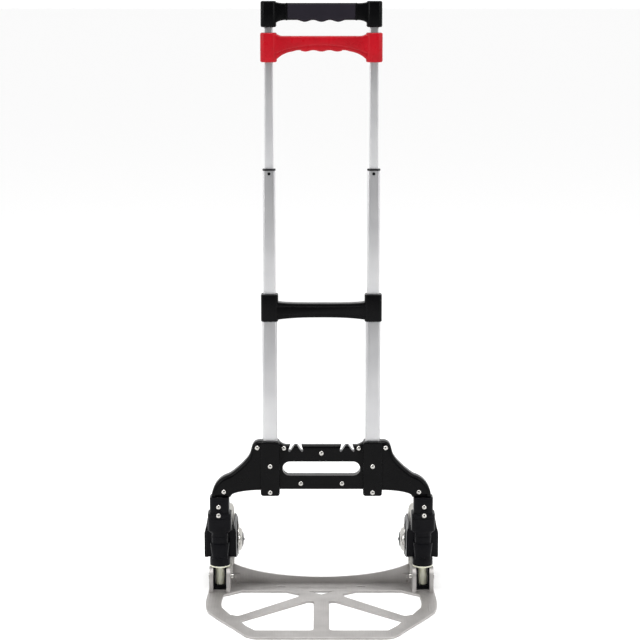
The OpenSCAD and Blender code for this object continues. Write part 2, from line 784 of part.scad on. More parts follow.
module yoke(side) {
    reach = peg_r + peg_d / 2 + peg_gap;
    inner = peg_r - peg_d / 2 - peg_gap;
    spread = fold / 2 + 19;
    color(black) on_leg(side) difference() {
        union() {
            sideways(-yoke_side, yoke_side) polygon([[-12, bridge_z], [10, bridge_z],
                [10, bridge_top], [-12.5, bridge_top]]);
            for (s = [-1, 1]) sideways(min(s * yoke_side, s * (yoke_side - yoke_wall)),
                max(s * yoke_side, s * (yoke_side - yoke_wall)))
                polygon([[-12, bridge_z], [10, bridge_z], [10, collar_z - 3], [-14, collar_z - 3],
                    [-14, bridge_z + 5]]);
        }
        translate([0, 0, bridge_z - 1]) cylinder(d = tail_d, h = 20, $fn = 48);
        translate([0, 0, bridge_z - 1]) cylinder(d = tail_d + 6, h = 3.8, $fn = 48);
        translate([0, -hinge_front, hinge_z]) {
            rod_x(pin_d, -yoke_side - 1, yoke_side + 1);
            intersection() {
                difference() {
                    rod_x(2 * reach, -yoke_side - 1, 0);
                    rod_x(2 * inner, -yoke_side - 2, 1);
                }
                sideways(-yoke_side - 1, 0)
                    polygon([[0, 0], 30 * [cos(spread), -sin(spread)], [40, 0],
                        30 * [cos(spread), sin(spread)]]);
            }
        }
    }
}

module spindle_nuts() {
    color(nickel) for (side = [-1, 1]) on_leg(side) translate([0, 0, bridge_z + 0.2]) difference() {
        cylinder(d = tail_d + 5.6, h = 2.4, $fn = 48);
        translate([0, 0, -1]) cylinder(d = tail_d, h = 5, $fn = 48);
    }
}

// short shoulder pins, fixed in the yoke, on which the brackets' ears turn
module hinge_pins() {
    color(nickel) for (side = [-1, 1]) on_leg(side)
        for (head = [[1, 4.6], [0, 1.1]]) mirror([head[0], 0, 0]) translate([0, -hinge_front, hinge_z]) {
            rod_x(pin_d, yoke_side - yoke_wall, ear_out + 0.3);
            rod_x(pin_d + 3, ear_out + 0.3, ear_out + 0.3 + head[1]);
        }
}

// right half of the toe plate's outline, from the middle of its back edge
function plate_half() = let (side_x = leg_x + plate_side, front = -plate_reach) concat(
    [[0, plate_back], [leg_x - ear_out - 1.5, plate_back], [leg_x - ear_out - 1, flange_y],
        [leg_x + ear_out, flange_y], [side_x, flange_y - 8]],
    curve([side_x + 0.5, -20], [side_x + 2.5, -55], [side_x + 4.5, -112], [side_x - 10, -135], 8),
    no_end(curve([side_x - 10, -135], [side_x - 27, -171], [side_x - 46, front + 58],
        [side_x - 64, front + 22], 8)),
    curve([side_x - 64, front + 22], [side_x - 70, front + 10], [side_x - 79, front],
        [side_x - 92, front], 6),
    [[0, front]]);

// cut-outs in the right half, each clockwise
function upper_cut() = concat(
    curve([leg_x - 7, -33], [leg_x - 5, -55], [leg_x - 4, -88], [leg_x - 8.5, -104], 6),
    [[leg_x - 23.5, -141]],
    arc([leg_x - 34, -137], 8, -30, -130, 4),
    [[38.5, -43]],
    arc([45, -31], 8, 200, 110, 4),
    [[59, -11.5], [leg_x - 36.5, -10.5], [leg_x - 16.5, -27]]);
function lower_cut() = concat(
    arc([leg_x - 47, -173], 6, 40, -30, 3),
    [[leg_x - 50.5, 59 - plate_reach], [leg_x - 65.5, rim - plate_reach], [19, rim - plate_reach]],
    arc([20, rim + 7.5 - plate_reach], 7.5, 250, 180, 3),
    [[12.6, -77]],
    arc([20, -74], 7.5, 170, 50, 4));
function centre_cut() = [[24.3, -10.5], [0, -31], [-24.3, -10.5]];

module toe_plate() {
    half = plate_half();
    end = leg_x - ear_out - 1.5;
    color(plate_silver) placed() {
        difference() {
            linear_extrude(plate_t) difference() {
                polygon(concat(half, no_end(mirrored(half))));
                for (s = [0, 1]) mirror([s, 0, 0]) {
                    polygon(upper_cut());
                    polygon(lower_cut());
                }
                polygon(centre_cut());
            }
            for (s = [-1, 1]) for (x = strap_rivet_x) translate([s * (leg_x + x), strap_rivet_y, -1])
                cylinder(d = rivet_d, h = plate_t + 2, $fn = 32);
        }
        difference() {
            upright(flange_y, plate_back) polygon(concat(
                [[-end, plate_t / 2], [end, plate_t / 2], [end, flange_end_z - 3]],
                curve([end - 3, flange_end_z], [end - 66, flange_mid_z],
                    [66 - end, flange_mid_z], [3 - end, flange_end_z], 16),
                [[-end, flange_end_z - 3]]));
            for (s = [-1, 1]) for (z = tab_rivet_z)
                translate([s * (leg_x + tab_rivet_x), 0, z]) rod_y(rivet_d, 0, 60);
        }
    }
}

module hinge_bracket(side) {
    low = plate_t;
    color(plate_silver) on_leg(side) difference() {
        union() {
            for (s = [-1, 1]) sideways(s < 0 ? -ear_out : ear_in, s < 0 ? -ear_in : ear_out) {
                polygon(concat([[-24, low], [-24, low + 8]],
                    arc([-hinge_front, hinge_z], bracket_r, 175, 20, 14),
                    [[flange_y - 8, 16], [flange_y, 14], [flange_y, low]]));
            }
            translate([-ear_out, -16, low]) cube([2 * ear_out, flange_y + 16, strap_t]);
            translate([-ear_out - tab_w, flange_y - tab_t, low]) cube([tab_w + 1, tab_t, tab_h]);
            sideways(-ear_out, -ear_in) polygon([[8, low], [flange_y, low], [flange_y, low + tab_h],
                [flange_y - 3, low + tab_h], [8, 32]]);
        }
        translate([0, -hinge_front, hinge_z]) rod_x(pin_d + 2 * run_gap, -40, 40);
        translate([0, peg_y(0), peg_z(0)]) rod_x(peg_d, -40, 0);
        for (x = strap_rivet_x) translate([x, strap_rivet_y, 0])
            cylinder(d = rivet_d, h = 20, $fn = 32);
        for (z = tab_rivet_z) translate([tab_rivet_x, 0, z]) rod_y(rivet_d, 0, 60);
    }
}

module bracket_rivets() {
    color(nickel) for (side = [-1, 1]) on_leg(side) {
        for (z = tab_rivet_z) translate([tab_rivet_x, 0, z]) {
            rod_y(rivet_d, flange_y - tab_t, plate_back);
            mirror([0, 1, 0]) rivet_head(-plate_back);
        }
        for (x = strap_rivet_x) translate([x, strap_rivet_y, 0]) {
            cylinder(d = rivet_d, h = plate_t + strap_t, $fn = 32);
            translate([0, 0, plate_t + strap_t]) rotate([-90, 0, 0]) rivet_head(0);
        }
    }
}

module follower_pegs() {
    color(nickel) for (side = [-1, 1]) on_leg(side) translate([0, peg_y(0), peg_z(0)])
        rod_x(peg_d, -ear_out, -peg_tip);
}

module at_axle(side) {
    on_leg(side) translate([0, axle_back, wheel_r]) rotate([0, 90, 0]) children();
}

module tyre(side) {
    half = wheel_w / 2;
    round = 9;
    inner = wheel_r - tyre_t;
    color(tyre_grey) at_axle(side) rotate_extrude($fn = 96) polygon(concat(
        [[inner, -half + 2]],
        arc([wheel_r - round, round - half], round, -90, 0, 5),
        arc([wheel_r - round, half - round], round, 0, 90, 5),
        [[inner, half - 2]]));
}

module hub(side) {
    outer = wheel_r - tyre_t;
    half = wheel_w / 2;
    dish = 9;
    color(black) at_axle(side) rotate_extrude($fn = 96) polygon([
        [8, -half + 1], [15, -half + 1], [18, -half + dish], [outer - 8, -half + dish],
        [outer - 5, -half + 3], [outer, -half + 3], [outer, half - 3], [outer - 5, half - 3],
        [outer - 8, half - dish], [18, half - dish], [15, half - 1], [8, half - 1]]);
}

module wheel_bush(side) {
    long = fork_w - 2 * cheek_t - 1;
    color(nylon) at_axle(side) difference() {
        cylinder(d = 16, h = long, center = true, $fn = 64);
        cylinder(d = axle_d + 2 * run_gap, h = long + 2, center = true, $fn = 64);
    }
}

module axle(side) {
    color(nickel) at_axle(side) translate([0, 0, -fork_w / 2 - 3])
        cylinder(d = axle_d, h = fork_w + 2.6, $fn = 64);
}

module hub_cap(side) {
    base = fork_w / 2;
    color(nickel) at_axle(side) mirror([0, 0, 1]) rotate_extrude($fn = 64) polygon(concat(
        [[axle_d / 2, base], [cap_r, base], [cap_r, base + cap_rim_t],
            [cap_dome_r + 1, base + cap_rim_t]],
        curve([cap_dome_r, base + cap_rim_t + 0.6], [cap_dome_r - 1, base + 5],
            [cap_centre_r + 4, base + cap_h], [cap_centre_r, base + cap_h], 6),
        [[axle_d / 2, base + cap_h]]));
}

module cap_centre(side) {
    base = fork_w / 2 + cap_h;
    color(black) at_axle(side) mirror([0, 0, 1]) rotate_extrude($fn = 48)
        polygon([[0, base], [cap_centre_r - 1, base], [cap_centre_r - 2.5, base + 1.6],
            [4, base + 2], [1.2, base + 3.6], [0, base + 3.8]]);
}

module axle_nut(side) {
    color(nickel) at_axle(side) translate([0, 0, fork_w / 2 - 3]) difference() {
        cylinder(d = axle_d + 8, h = 2.4, $fn = 48);
        translate([0, 0, -1]) cylinder(d = axle_d, h = 5, $fn = 48);
    }
}

handle_body();
grip_insert();
handle_screws();
release_bar();
release_pins();
release_rods();
release_springs();
upper_tube(-1);  // upper_tube_left
upper_tube(1);  // upper_tube_right
upper_tube_glides();
upper_lock_clips();
middle_tube(-1);  // middle_tube_left
middle_tube(1);  // middle_tube_right
middle_tube_bushes();
middle_tube_glides();
middle_lock_clips();
lower_tube(-1);  // lower_tube_left
lower_tube(1);  // lower_tube_right
lower_tube_bushes();
cross_bar();
cross_bar_screws();
frame_front_shell();
frame_rear_shell();
frame_rivets();
leg_sleeve(-1);  // leg_sleeve_left
leg_sleeve(1);  // leg_sleeve_right
leg_rivets();
leg_spindle(-1);  // leg_spindle_left
leg_spindle(1);  // leg_spindle_right
swivel_bush(-1);  // swivel_bush_left
swivel_bush(1);  // swivel_bush_right
wheel_fork(-1);  // wheel_fork_left
wheel_fork(1);  // wheel_fork_right
cam_barrel(-1);  // cam_barrel_left
cam_barrel(1);  // cam_barrel_right
yoke(-1);  // yoke_left
yoke(1);  // yoke_right
spindle_nuts();
hinge_pins();
toe_plate();
hinge_bracket(-1);  // hinge_bracket_left
hinge_bracket(1);  // hinge_bracket_right
bracket_rivets();
follower_pegs();
tyre(-1);  // tyre_left
tyre(1);  // tyre_right
hub(-1);  // hub_left
hub(1);  // hub_right
wheel_bush(-1);  // wheel_bush_left
wheel_bush(1);  // wheel_bush_right
axle(-1);  // axle_left
axle(1);  // axle_right
hub_cap(-1);  // hub_cap_left
hub_cap(1);  // hub_cap_right
cap_centre(-1);  // cap_centre_left
cap_centre(1);  // cap_centre_right
axle_nut(-1);  // axle_nut_left
axle_nut(1);  // axle_nut_right
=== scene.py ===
"""Folding hand truck: the moulded, pressed and turned pieces round its mechanism, and their studio."""
import json
import math

import bpy
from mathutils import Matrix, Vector


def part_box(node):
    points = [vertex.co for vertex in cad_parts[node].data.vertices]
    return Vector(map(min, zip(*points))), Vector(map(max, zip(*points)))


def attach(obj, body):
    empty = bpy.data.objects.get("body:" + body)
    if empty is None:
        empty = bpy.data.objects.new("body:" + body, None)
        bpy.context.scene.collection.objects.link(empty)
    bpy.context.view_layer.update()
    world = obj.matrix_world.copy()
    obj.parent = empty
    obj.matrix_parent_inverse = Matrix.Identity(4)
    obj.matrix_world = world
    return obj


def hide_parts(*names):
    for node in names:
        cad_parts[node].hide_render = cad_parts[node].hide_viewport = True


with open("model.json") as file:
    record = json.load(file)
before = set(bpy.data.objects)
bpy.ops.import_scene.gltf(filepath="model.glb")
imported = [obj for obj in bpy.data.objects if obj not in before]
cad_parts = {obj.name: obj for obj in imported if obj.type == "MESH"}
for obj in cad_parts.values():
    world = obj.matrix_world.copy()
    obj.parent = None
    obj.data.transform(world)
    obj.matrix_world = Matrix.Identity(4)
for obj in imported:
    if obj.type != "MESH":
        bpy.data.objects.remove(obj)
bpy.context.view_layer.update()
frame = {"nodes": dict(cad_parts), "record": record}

bl_info = {
    "name": "Folding Hand Truck",
    "version": (1, 0, 0),
    "blender": (4, 5, 0),
    "location": "View3D > Sidebar > Hand Truck",
    "description": "Models the visible pieces of a folding hand truck",
    "category": "Object",
}

MM = 0.001
SIDES = {"left": -1, "right": 1}


def span(node):
    """Lowest and highest corners of a node at rest, in millimetres."""
    low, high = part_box(node)
    return Vector(low) / MM, Vector(high) / MM


def middle(node):
    low, high = span(node)
    return (low + high) / 2


# the places that everything is measured from, in millimetres
LEG = middle("leg_spindle_right")
TUBE_X = middle("upper_tube_right").x
AXLE = middle("tyre_right")
WHEEL_R = (span("tyre_right")[1].z - span("tyre_right")[0].z) / 2
WHEEL_W = span("tyre_right")[1].x - span("tyre_right")[0].x
FORK_LOW, FORK_HIGH = span("wheel_fork_right")
SLEEVE_LOW, SLEEVE_HIGH = span("leg_sleeve_right")
FRAME_LOW, FRAME_HIGH = span("frame_front_shell")
HANDLE_LOW, HANDLE_HIGH = span("handle_body")
RELEASE_LOW, RELEASE_HIGH = span("release_bar")
BAR_LOW, BAR_HIGH = span("cross_bar")
PLATE_LOW, PLATE_HIGH = span("toe_plate")
GRIP_LOW, GRIP_HIGH = span("grip_insert")
TUBE_LOW, TUBE_HIGH = span("lower_tube_right")

PLATE_T = 4

# how far a web or a bar runs into the posts at its ends
ROOTED = 3
# how far a cutter stands clear of what it cuts
CLEAR = 5


# ---------------------------------------------------------------- modelling

def alone(piece):
    """Selects one object and nothing else."""
    bpy.ops.object.select_all(action="DESELECT")
    piece.select_set(True)
    bpy.context.view_layer.objects.active = piece
    return piece


def settle(piece):
    """Puts the object at the origin, unturned and unscaled, with its place in its mesh."""
    alone(piece)
    bpy.ops.object.transform_apply(location=True, rotation=True, scale=True)
    return piece


def modified(piece, kind, **settings):
    alone(piece)
    modifier = piece.modifiers.new(kind.title(), kind)
    for name, value in settings.items():
        setattr(modifier, name, value)
    bpy.ops.object.modifier_apply(modifier=modifier.name)
    return piece


def bevelled(piece, width, segments=3, angle=40):
    return modified(piece, "BEVEL", width=width * MM, segments=segments, limit_method="ANGLE",
                    angle_limit=math.radians(angle), use_clamp_overlap=True, harden_normals=False)


def cut(piece, *cutters):
    for cutter in cutters:
        modified(piece, "BOOLEAN", operation="DIFFERENCE", object=cutter, solver="EXACT")
        bpy.data.objects.remove(cutter)
    return piece


def united(piece, *others):
    for other in others:
        modified(piece, "BOOLEAN", operation="UNION", object=other, solver="EXACT")
        bpy.data.objects.remove(other)
    return piece


def joined(name, pieces):
    """Makes one object of several separate solids."""
    bpy.ops.object.select_all(action="DESELECT")
    for piece in pieces:
        piece.select_set(True)
    bpy.context.view_layer.objects.active = pieces[0]
    if len(pieces) > 1:
        bpy.ops.object.join()
    pieces[0].name = name
    return pieces[0]


def smooth(piece, angle=32):
    alone(piece)
    bpy.ops.object.shade_smooth_by_angle(angle=math.radians(angle))
    return piece


def block(low, high, round_=1.0, segments=3):
    """A box between two corners with rounded edges."""
    bpy.ops.object.select_all(action="DESELECT")
    low, high = Vector(low), Vector(high)
    bpy.ops.mesh.primitive_cube_add(size=1, location=(low + high) / 2 * MM)
    piece = bpy.context.object
    piece.scale = (high - low) * MM
    return bevelled(settle(piece), round_, segments)


def drum(centre, axis, radius, half, sides=64, edge=0.0):
    """A cylinder about a centre, along X, Y or Z."""
    turn = {"X": (0, math.pi / 2, 0), "Y": (math.pi / 2, 0, 0), "Z": (0, 0, 0)}[axis]
    bpy.ops.object.select_all(action="DESELECT")
    bpy.ops.mesh.primitive_cylinder_add(vertices=sides, radius=radius * MM, depth=2 * half * MM,
                                        location=Vector(centre) * MM, rotation=turn)
    piece = settle(bpy.context.object)
    return bevelled(piece, edge, 3) if edge else piece


def arc(cx, cz, r, start, end, steps=8):
    return [(cx + r * math.cos(math.radians(start + (end - start) * i / steps)),
             cz + r * math.sin(math.radians(start + (end - start) * i / steps)))
            for i in range(steps + 1)]


def bend(p, q, s, t, steps=14):
    """Points of a cubic curve from p to t, drawn towards q and s."""
    points = []
    for i in range(steps + 1):
        u, v = i / steps, 1 - i / steps
        weights = (v ** 3, 3 * v * v * u, 3 * v * u * u, u ** 3)
        points.append(tuple(sum(w * c[k] for w, c in zip(weights, (p, q, s, t))) for k in (0, 1)))
    return points


def mirrored(points):
    return [(-a, b) for a, b in reversed(points)]


def rounded(width, depth, r, steps=8):
    """Outline of a rounded rectangle about the origin."""
    w, d = width / 2 - r, depth / 2 - r
    return (arc(w, d, r, 0, 90, steps) + arc(-w, d, r, 90, 180, steps)
            + arc(-w, -d, r, 180, 270, steps) + arc(w, -d, r, 270, 360, steps))


def slab(outlines, plane, low, high, edge=0.0, segments=3):
    """A filled outline drawn in a plane and given a thickness from low to high, with round edges.

    The plane is XY, XZ or YZ, and the thickness runs along the third axis.
    """
    bpy.ops.object.select_all(action="DESELECT")
    bpy.ops.curve.primitive_bezier_circle_add()
    piece = bpy.context.object
    data = piece.data
    data.dimensions = "2D"
    data.fill_mode = "BOTH"
    data.splines.clear()
    for outline in outlines:
        spline = data.splines.new("POLY")
        spline.points.add(len(outline) - 1)
        for point, (a, b) in zip(spline.points, outline):
            point.co = (a * MM, b * MM, 0, 1)
        spline.use_cyclic_u = True
    data.extrude = ((high - low) / 2 - edge) * MM
    data.bevel_depth = edge * MM
    data.bevel_resolution = segments
    data.offset = -edge * MM
    centre = (low + high) / 2 * MM
    if plane == "XY":
        piece.location = (0, 0, centre)
    elif plane == "XZ":
        piece.rotation_euler = (math.pi / 2, 0, 0)
        piece.location = (0, centre, 0)
    else:
        piece.rotation_euler = (math.pi / 2, 0, math.pi / 2)
        piece.location = (centre, 0, 0)
    alone(piece)
    bpy.ops.object.convert(target="MESH")
    return cleaned(settle(bpy.context.object))


def cleaned(piece):
    """Joins doubled points and points every face outwards."""
    alone(piece)
    bpy.ops.object.mode_set(mode="EDIT")
    bpy.ops.mesh.select_all(action="SELECT")
    bpy.ops.mesh.remove_doubles(threshold=0.00001)
    bpy.ops.mesh.normals_make_consistent(inside=False)
    bpy.ops.object.mode_set(mode="OBJECT")
    return piece


def turned(profile, centre, axis, steps=96):
    """A profile of (radius, along) pairs, closed on itself or on the axis, spun about X, Y or Z."""
    bpy.ops.object.select_all(action="DESELECT")
    bpy.ops.mesh.primitive_circle_add(vertices=len(profile), radius=1)
    piece = bpy.context.object
    for vertex, (r, along) in zip(piece.data.vertices, profile):
        vertex.co = (r * MM, 0, along * MM)
    alone(piece)
    bpy.ops.object.mode_set(mode="EDIT")
    bpy.ops.mesh.select_all(action="SELECT")
    bpy.ops.mesh.spin(steps=steps, angle=2 * math.pi, center=(0, 0, 0), axis=(0, 0, 1))
    bpy.ops.mesh.select_all(action="SELECT")
    bpy.ops.mesh.remove_doubles(threshold=0.000005)
    bpy.ops.mesh.dissolve_degenerate(threshold=0.000001)
    bpy.ops.mesh.select_all(action="SELECT")
    bpy.ops.mesh.delete_loose(use_verts=True, use_edges=True, use_faces=False)
    bpy.ops.mesh.select_all(action="SELECT")
    bpy.ops.mesh.normals_make_consistent(inside=False)
    bpy.ops.object.mode_set(mode="OBJECT")
    piece.rotation_euler = {"X": (0, math.pi / 2, 0), "Y": (math.pi / 2, 0, 0), "Z": (0, 0, 0)}[axis]
    piece.location = Vector(centre) * MM
    return settle(piece)


def copied(piece, shift=(0, 0, 0), flip=False):
    """A copy with its own mesh, moved, or mirrored in the plane x = 0."""
    alone(piece)
    bpy.ops.object.duplicate()
    copy = bpy.context.object
    copy.location = Vector(shift) * MM
    if flip:
        copy.scale.x = -1
    settle(copy)
    return cleaned(copy) if flip else copy


def islands(node):
    """The middle and the lowest and highest corners of each separate solid of a node, in millimetres."""
    mesh = frame["nodes"][node].data
    keys, parent = {}, {}

    def root(k):
        while parent[k] != k:
            parent[k] = parent[parent[k]]
            k = parent[k]
        return k

    for vertex in mesh.vertices:
        key = tuple(round(c, 6) for c in vertex.co)
        keys[vertex.index] = key
        parent.setdefault(key, key)
    for polygon in mesh.polygons:
        first = root(keys[polygon.vertices[0]])
        for index in polygon.vertices[1:]:
            parent[root(keys[index])] = first
    groups = {}
    for key in parent:
        groups.setdefault(root(key), []).append(key)
    boxes = []
    for points in sorted(groups.values()):
        low = Vector([min(p[i] for p in points) for i in range(3)]) / MM
        high = Vector([max(p[i] for p in points) for i in range(3)]) / MM
        boxes.append(((low + high) / 2, low, high))
    return boxes


# ---------------------------------------------------------------- materials

def linear(colour):
    """Turns an sRGB hex colour to linear red, green, blue and alpha."""
    parts = [int(colour[i:i + 2], 16) / 255 for i in (1, 3, 5)]
    return tuple(c / 12.92 if c <= 0.04045 else ((c + 0.055) / 1.055) ** 2.4 for c in parts) + (1,)


def add(tree, kind, links=(), **settings):
    """Adds a shader node: settings name its properties or its inputs, links are (input, output) pairs."""
    made = tree.nodes.new("ShaderNode" + kind)
    for name, value in settings.items():
        if hasattr(made, name):
            setattr(made, name, value)
    for name, value in settings.items():
        if not hasattr(made, name):
            made.inputs[name.replace("_", " ")].default_value = value
    for name, output in links:
        tree.links.new(made.inputs[name], output)
    return made


def ramp(tree, factor, low, high, start=0.3, end=0.7):
    """Blends two colours by a factor."""
    made = add(tree, "ValToRGB", [("Fac", factor)])
    first, last = made.color_ramp.elements
    first.position, first.color = start, low
    last.position, last.color = end, high
    return made.outputs["Color"]


def grey(value):
    return (value, value, value, 1)


def surface(name, shader):
    """A new material with its output and a main shader whose fixed values sit on its own sockets."""
    material = bpy.data.materials.new(name)
    material.use_nodes = True
    tree = material.node_tree
    tree.nodes.clear()
    main = add(tree, "BsdfPrincipled")
    for socket, value in shader.items():
        main.inputs[socket].default_value = value
    add(tree, "OutputMaterial", [("Surface", main.outputs["BSDF"])])
    return material, tree, main


def grain(tree, place, size, detail=4.0, rough=0.55):
    """Noise whose grains are about a size in millimetres."""
    return add(tree, "TexNoise", [("Vector", place)], Scale=1 / (size * MM), Detail=detail,
               Roughness=rough).outputs["Fac"]


def bump(tree, main, height, depth, strength=0.5):
    made = add(tree, "Bump", [("Height", height)], Strength=strength, Distance=depth * MM)
    tree.links.new(main.inputs["Normal"], made.outputs["Normal"])


def object_place(tree, stretch=(1, 1, 1)):
    coordinates = add(tree, "TexCoord")
    made = add(tree, "Mapping", [("Vector", coordinates.outputs["Object"])])
    made.inputs["Scale"].default_value = stretch
    return made.outputs["Vector"]


def moulded(name, colour, shade, rough_low, rough_high, grain_mm=0.9, depth=0.04, gloss=0.5):
    """Injection-moulded plastic: even colour, a fine spark-eroded grain and softly uneven gloss."""
    material, tree, main = surface(name, {"IOR": 1.5, "Specular IOR Level": gloss})
    place = object_place(tree)
    patches = grain(tree, place, 38, 3)
    tree.links.new(main.inputs["Base Color"], ramp(tree, patches, linear(colour), linear(shade)))
    wear = grain(tree, place, 9, 5)
    tree.links.new(main.inputs["Roughness"],
                   ramp(tree, wear, grey(rough_low), grey(rough_high), 0.25, 0.75))
    bump(tree, main, grain(tree, place, grain_mm, 3), depth, 0.35)
    return material


def anodised_tube(colour, shade):
    """Satin anodised aluminium tube: lengthwise draw lines, soft highlights."""
    material, tree, main = surface("anodised_aluminium_tube", {"Metallic": 0.82})
    lines = grain(tree, object_place(tree, (1, 1, 0.004)), 0.8, 3)
    cloud = grain(tree, object_place(tree), 60, 2)
    tree.links.new(main.inputs["Base Color"], ramp(tree, cloud, linear(colour), linear(shade)))
    tree.links.new(main.inputs["Roughness"], ramp(tree, lines, grey(0.36), grey(0.5)))
    bump(tree, main, lines, 0.02, 0.25)
    return material


def ribbed_plate(name, colour, shade, groove_pitch):
    """Extruded aluminium sheet with fine ribs from front to back, tumbled to a dull grey."""
    material, tree, main = surface(name, {"Metallic": 0.75})
    place = object_place(tree)
    groove = add(tree, "TexWave", [("Vector", place)], wave_type="BANDS", bands_direction="X",
                 wave_profile="SIN", Scale=0.314 / (groove_pitch * MM), Distortion=0.0)
    draw = grain(tree, object_place(tree, (1, 0.01, 1)), 0.7, 3)
    cloud = grain(tree, place, 45, 4)
    tree.links.new(main.inputs["Base Color"], ramp(tree, cloud, linear(colour), linear(shade)))
    tree.links.new(main.inputs["Roughness"], ramp(tree, draw, grey(0.4), grey(0.56)))
    both = add(tree, "Math", [(0, groove.outputs["Fac"]), (1, draw)], operation="ADD")
    bump(tree, main, both.outputs["Value"], 0.25, 0.4)
    return material


def polished_metal(name, colour, rough_low, rough_high):
    """Bright nickel plate on turned or pressed steel, with faint handling marks."""
    material, tree, main = surface(name, {"Metallic": 1.0})
    place = object_place(tree)
    marks = grain(tree, place, 3.5, 6, 0.7)
    main.inputs["Base Color"].default_value = linear(colour)
    tree.links.new(main.inputs["Roughness"], ramp(tree, marks, grey(rough_low), grey(rough_high)))
    bump(tree, main, marks, 0.01, 0.2)
    return material


def nylon_resin(colour, shade):
    """Unfilled nylon: waxy, a little translucent, slightly mottled."""
    material, tree, main = surface("natural_nylon", {"IOR": 1.53, "Subsurface Weight": 0.12})
    main.inputs["Subsurface Radius"].default_value = (0.004, 0.004, 0.003)
    place = object_place(tree)
    mottle = grain(tree, place, 12, 4)
    tree.links.new(main.inputs["Base Color"], ramp(tree, mottle, linear(colour), linear(shade)))
    main.inputs["Roughness"].default_value = 0.42
    bump(tree, main, grain(tree, place, 1.5, 3), 0.03, 0.3)
    return material


def tyre_rubber(colour, shade):
    """Solid grey thermoplastic rubber: matt, powdery, a little dirtier in patches."""
    material, tree, main = surface("grey_tyre_rubber", {"IOR": 1.5, "Sheen Weight": 0.08})
    place = object_place(tree)
    dirt = grain(tree, place, 16, 6, 0.65)
    tree.links.new(main.inputs["Base Color"], ramp(tree, dirt, linear(colour), linear(shade)))
    tree.links.new(main.inputs["Roughness"], ramp(tree, dirt, grey(0.62), grey(0.78)))
    bump(tree, main, grain(tree, place, 0.8, 3), 0.05, 0.4)
    return material


MATERIALS = {}


def finished(piece, name, body, material, *nodes):
    """Names a piece, gives it its material and body, and hides the nodes it stands for."""
    piece.name = name
    piece.data.name = name
    piece.data.materials.clear()
    piece.data.materials.append(MATERIALS[material])
    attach(piece, body)
    if nodes:
        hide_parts(*nodes)
    return piece


def shift(points, dx=0.0, dz=0.0):
    return [(a + dx, b + dz) for a, b in points]


# ---------------------------------------------------------------- settings

class HandTruckSizes(bpy.types.PropertyGroup):
    """Sizes of the details that a user would change, in millimetres."""
    frame_edge: bpy.props.FloatProperty(
        name="Frame Edge", description="Radius of the frame's outer edges", default=6.5, min=1, max=9)
    grip_edge: bpy.props.FloatProperty(
        name="Grip Edge", description="Radius of the grip's edges", default=8.0, min=2, max=10)
    plate_edge: bpy.props.FloatProperty(
        name="Plate Edge", description="Radius of the toe plate's edges", default=1.1, min=0.3, max=1.8)
    groove_pitch: bpy.props.FloatProperty(
        name="Groove Pitch", description="Distance between the toe plate's grooves", default=5.0,
        min=2, max=12)
    tread_groove: bpy.props.FloatProperty(
        name="Tread Groove", description="Width of the tyre's two grooves", default=1.6, min=0.6, max=4)


class HandTruckColours(bpy.types.PropertyGroup):
    """Colours of the finishes, as sRGB hex values."""
    plastic: bpy.props.StringProperty(
        name="Plastic", description="Moulded black plastic", default="#080809")
    grip: bpy.props.StringProperty(name="Grip", description="Soft grip", default="#1D1922")
    release: bpy.props.StringProperty(name="Release Bar", description="Red plastic", default="#B2101E")
    tube: bpy.props.StringProperty(name="Tubes", description="Anodised aluminium", default="#C6C6C7")
    plate: bpy.props.StringProperty(name="Toe Plate", description="Extruded aluminium", default="#B2AFAD")
    tyre: bpy.props.StringProperty(name="Tyres", description="Grey rubber", default="#B9B7B2")


# ---------------------------------------------------------------- operators

class HANDTRUCK_OT_materials(bpy.types.Operator):
    """Makes every finish and gives the frame's own nodes theirs"""
    bl_idname = "hand_truck.materials"
    bl_label = "Finishes"

    def execute(self, context):
        colours, sizes = context.scene.hand_truck_colours, context.scene.hand_truck_sizes
        MATERIALS.update(
            black=moulded("glossy_black_nylon", colours.plastic, "#050506", 0.16, 0.28, 1.1, 0.02, 0.08),
            matt_black=moulded("matt_black_nylon", "#0D0D11", "#08080B", 0.3, 0.44, 0.9, 0.05, 0.08),
            grip=moulded("soft_grip_rubber", colours.grip, "#19161E", 0.5, 0.64, 0.7, 0.08, 0.15),
            red=moulded("red_abs", colours.release, "#A00E1A", 0.24, 0.34, 1.2, 0.02, 0.18),
            tube=anodised_tube(colours.tube, "#BCBCBE"),
            plate=ribbed_plate("ribbed_toe_plate", colours.plate, "#A3A09E", sizes.groove_pitch),
            bracket=ribbed_plate("pressed_bracket", "#B4B1AF", "#A6A3A1", 9.0),
            nickel=polished_metal("nickel_plated_steel", "#BEBCB8", 0.14, 0.3),
            nylon=nylon_resin("#F4F4E2", "#EAEAD2"),
            tyre=tyre_rubber(colours.tyre, "#9D9B95"),
        )
        slot_finish = {
            "black_plastic": "matt_black", "grip_rubber": "grip", "red_plastic": "red",
            "tube_aluminium": "tube", "plate_aluminium": "bracket", "steel": "nickel",
            "nylon": "nylon", "tyre_grey": "tyre",
        }
        slots = {s["node"]: s["material_slot"] for s in frame["record"]["subparts"]}
        for name, piece in frame["nodes"].items():
            for slot in piece.material_slots:
                slot.material = MATERIALS[slot_finish[slots[name]]]
        return {"FINISHED"}


def finger_line(half, z, depth, reach, pitch=27.0, steps=96):
    """The underside of a grip from right to left: bumps at every pitch, as far as reach."""
    points = []
    for i in range(steps + 1):
        x = half - 2 * half * i / steps
        lift = (1 - math.cos(2 * math.pi * x / pitch)) / 2 if abs(x) < reach else 1
        points.append((x, z + depth * lift))
    return points


def without_tube_holes(body, width, depth, low, high, corner=4):
    """Cuts the two holes that the tubes run in."""
    for side in (-1, 1):
        hole = shift(rounded(width, depth, corner), side * TUBE_X, LEG.y)
        body = cut(body, slab([hole], "XY", low - CLEAR, high + CLEAR))
    return body


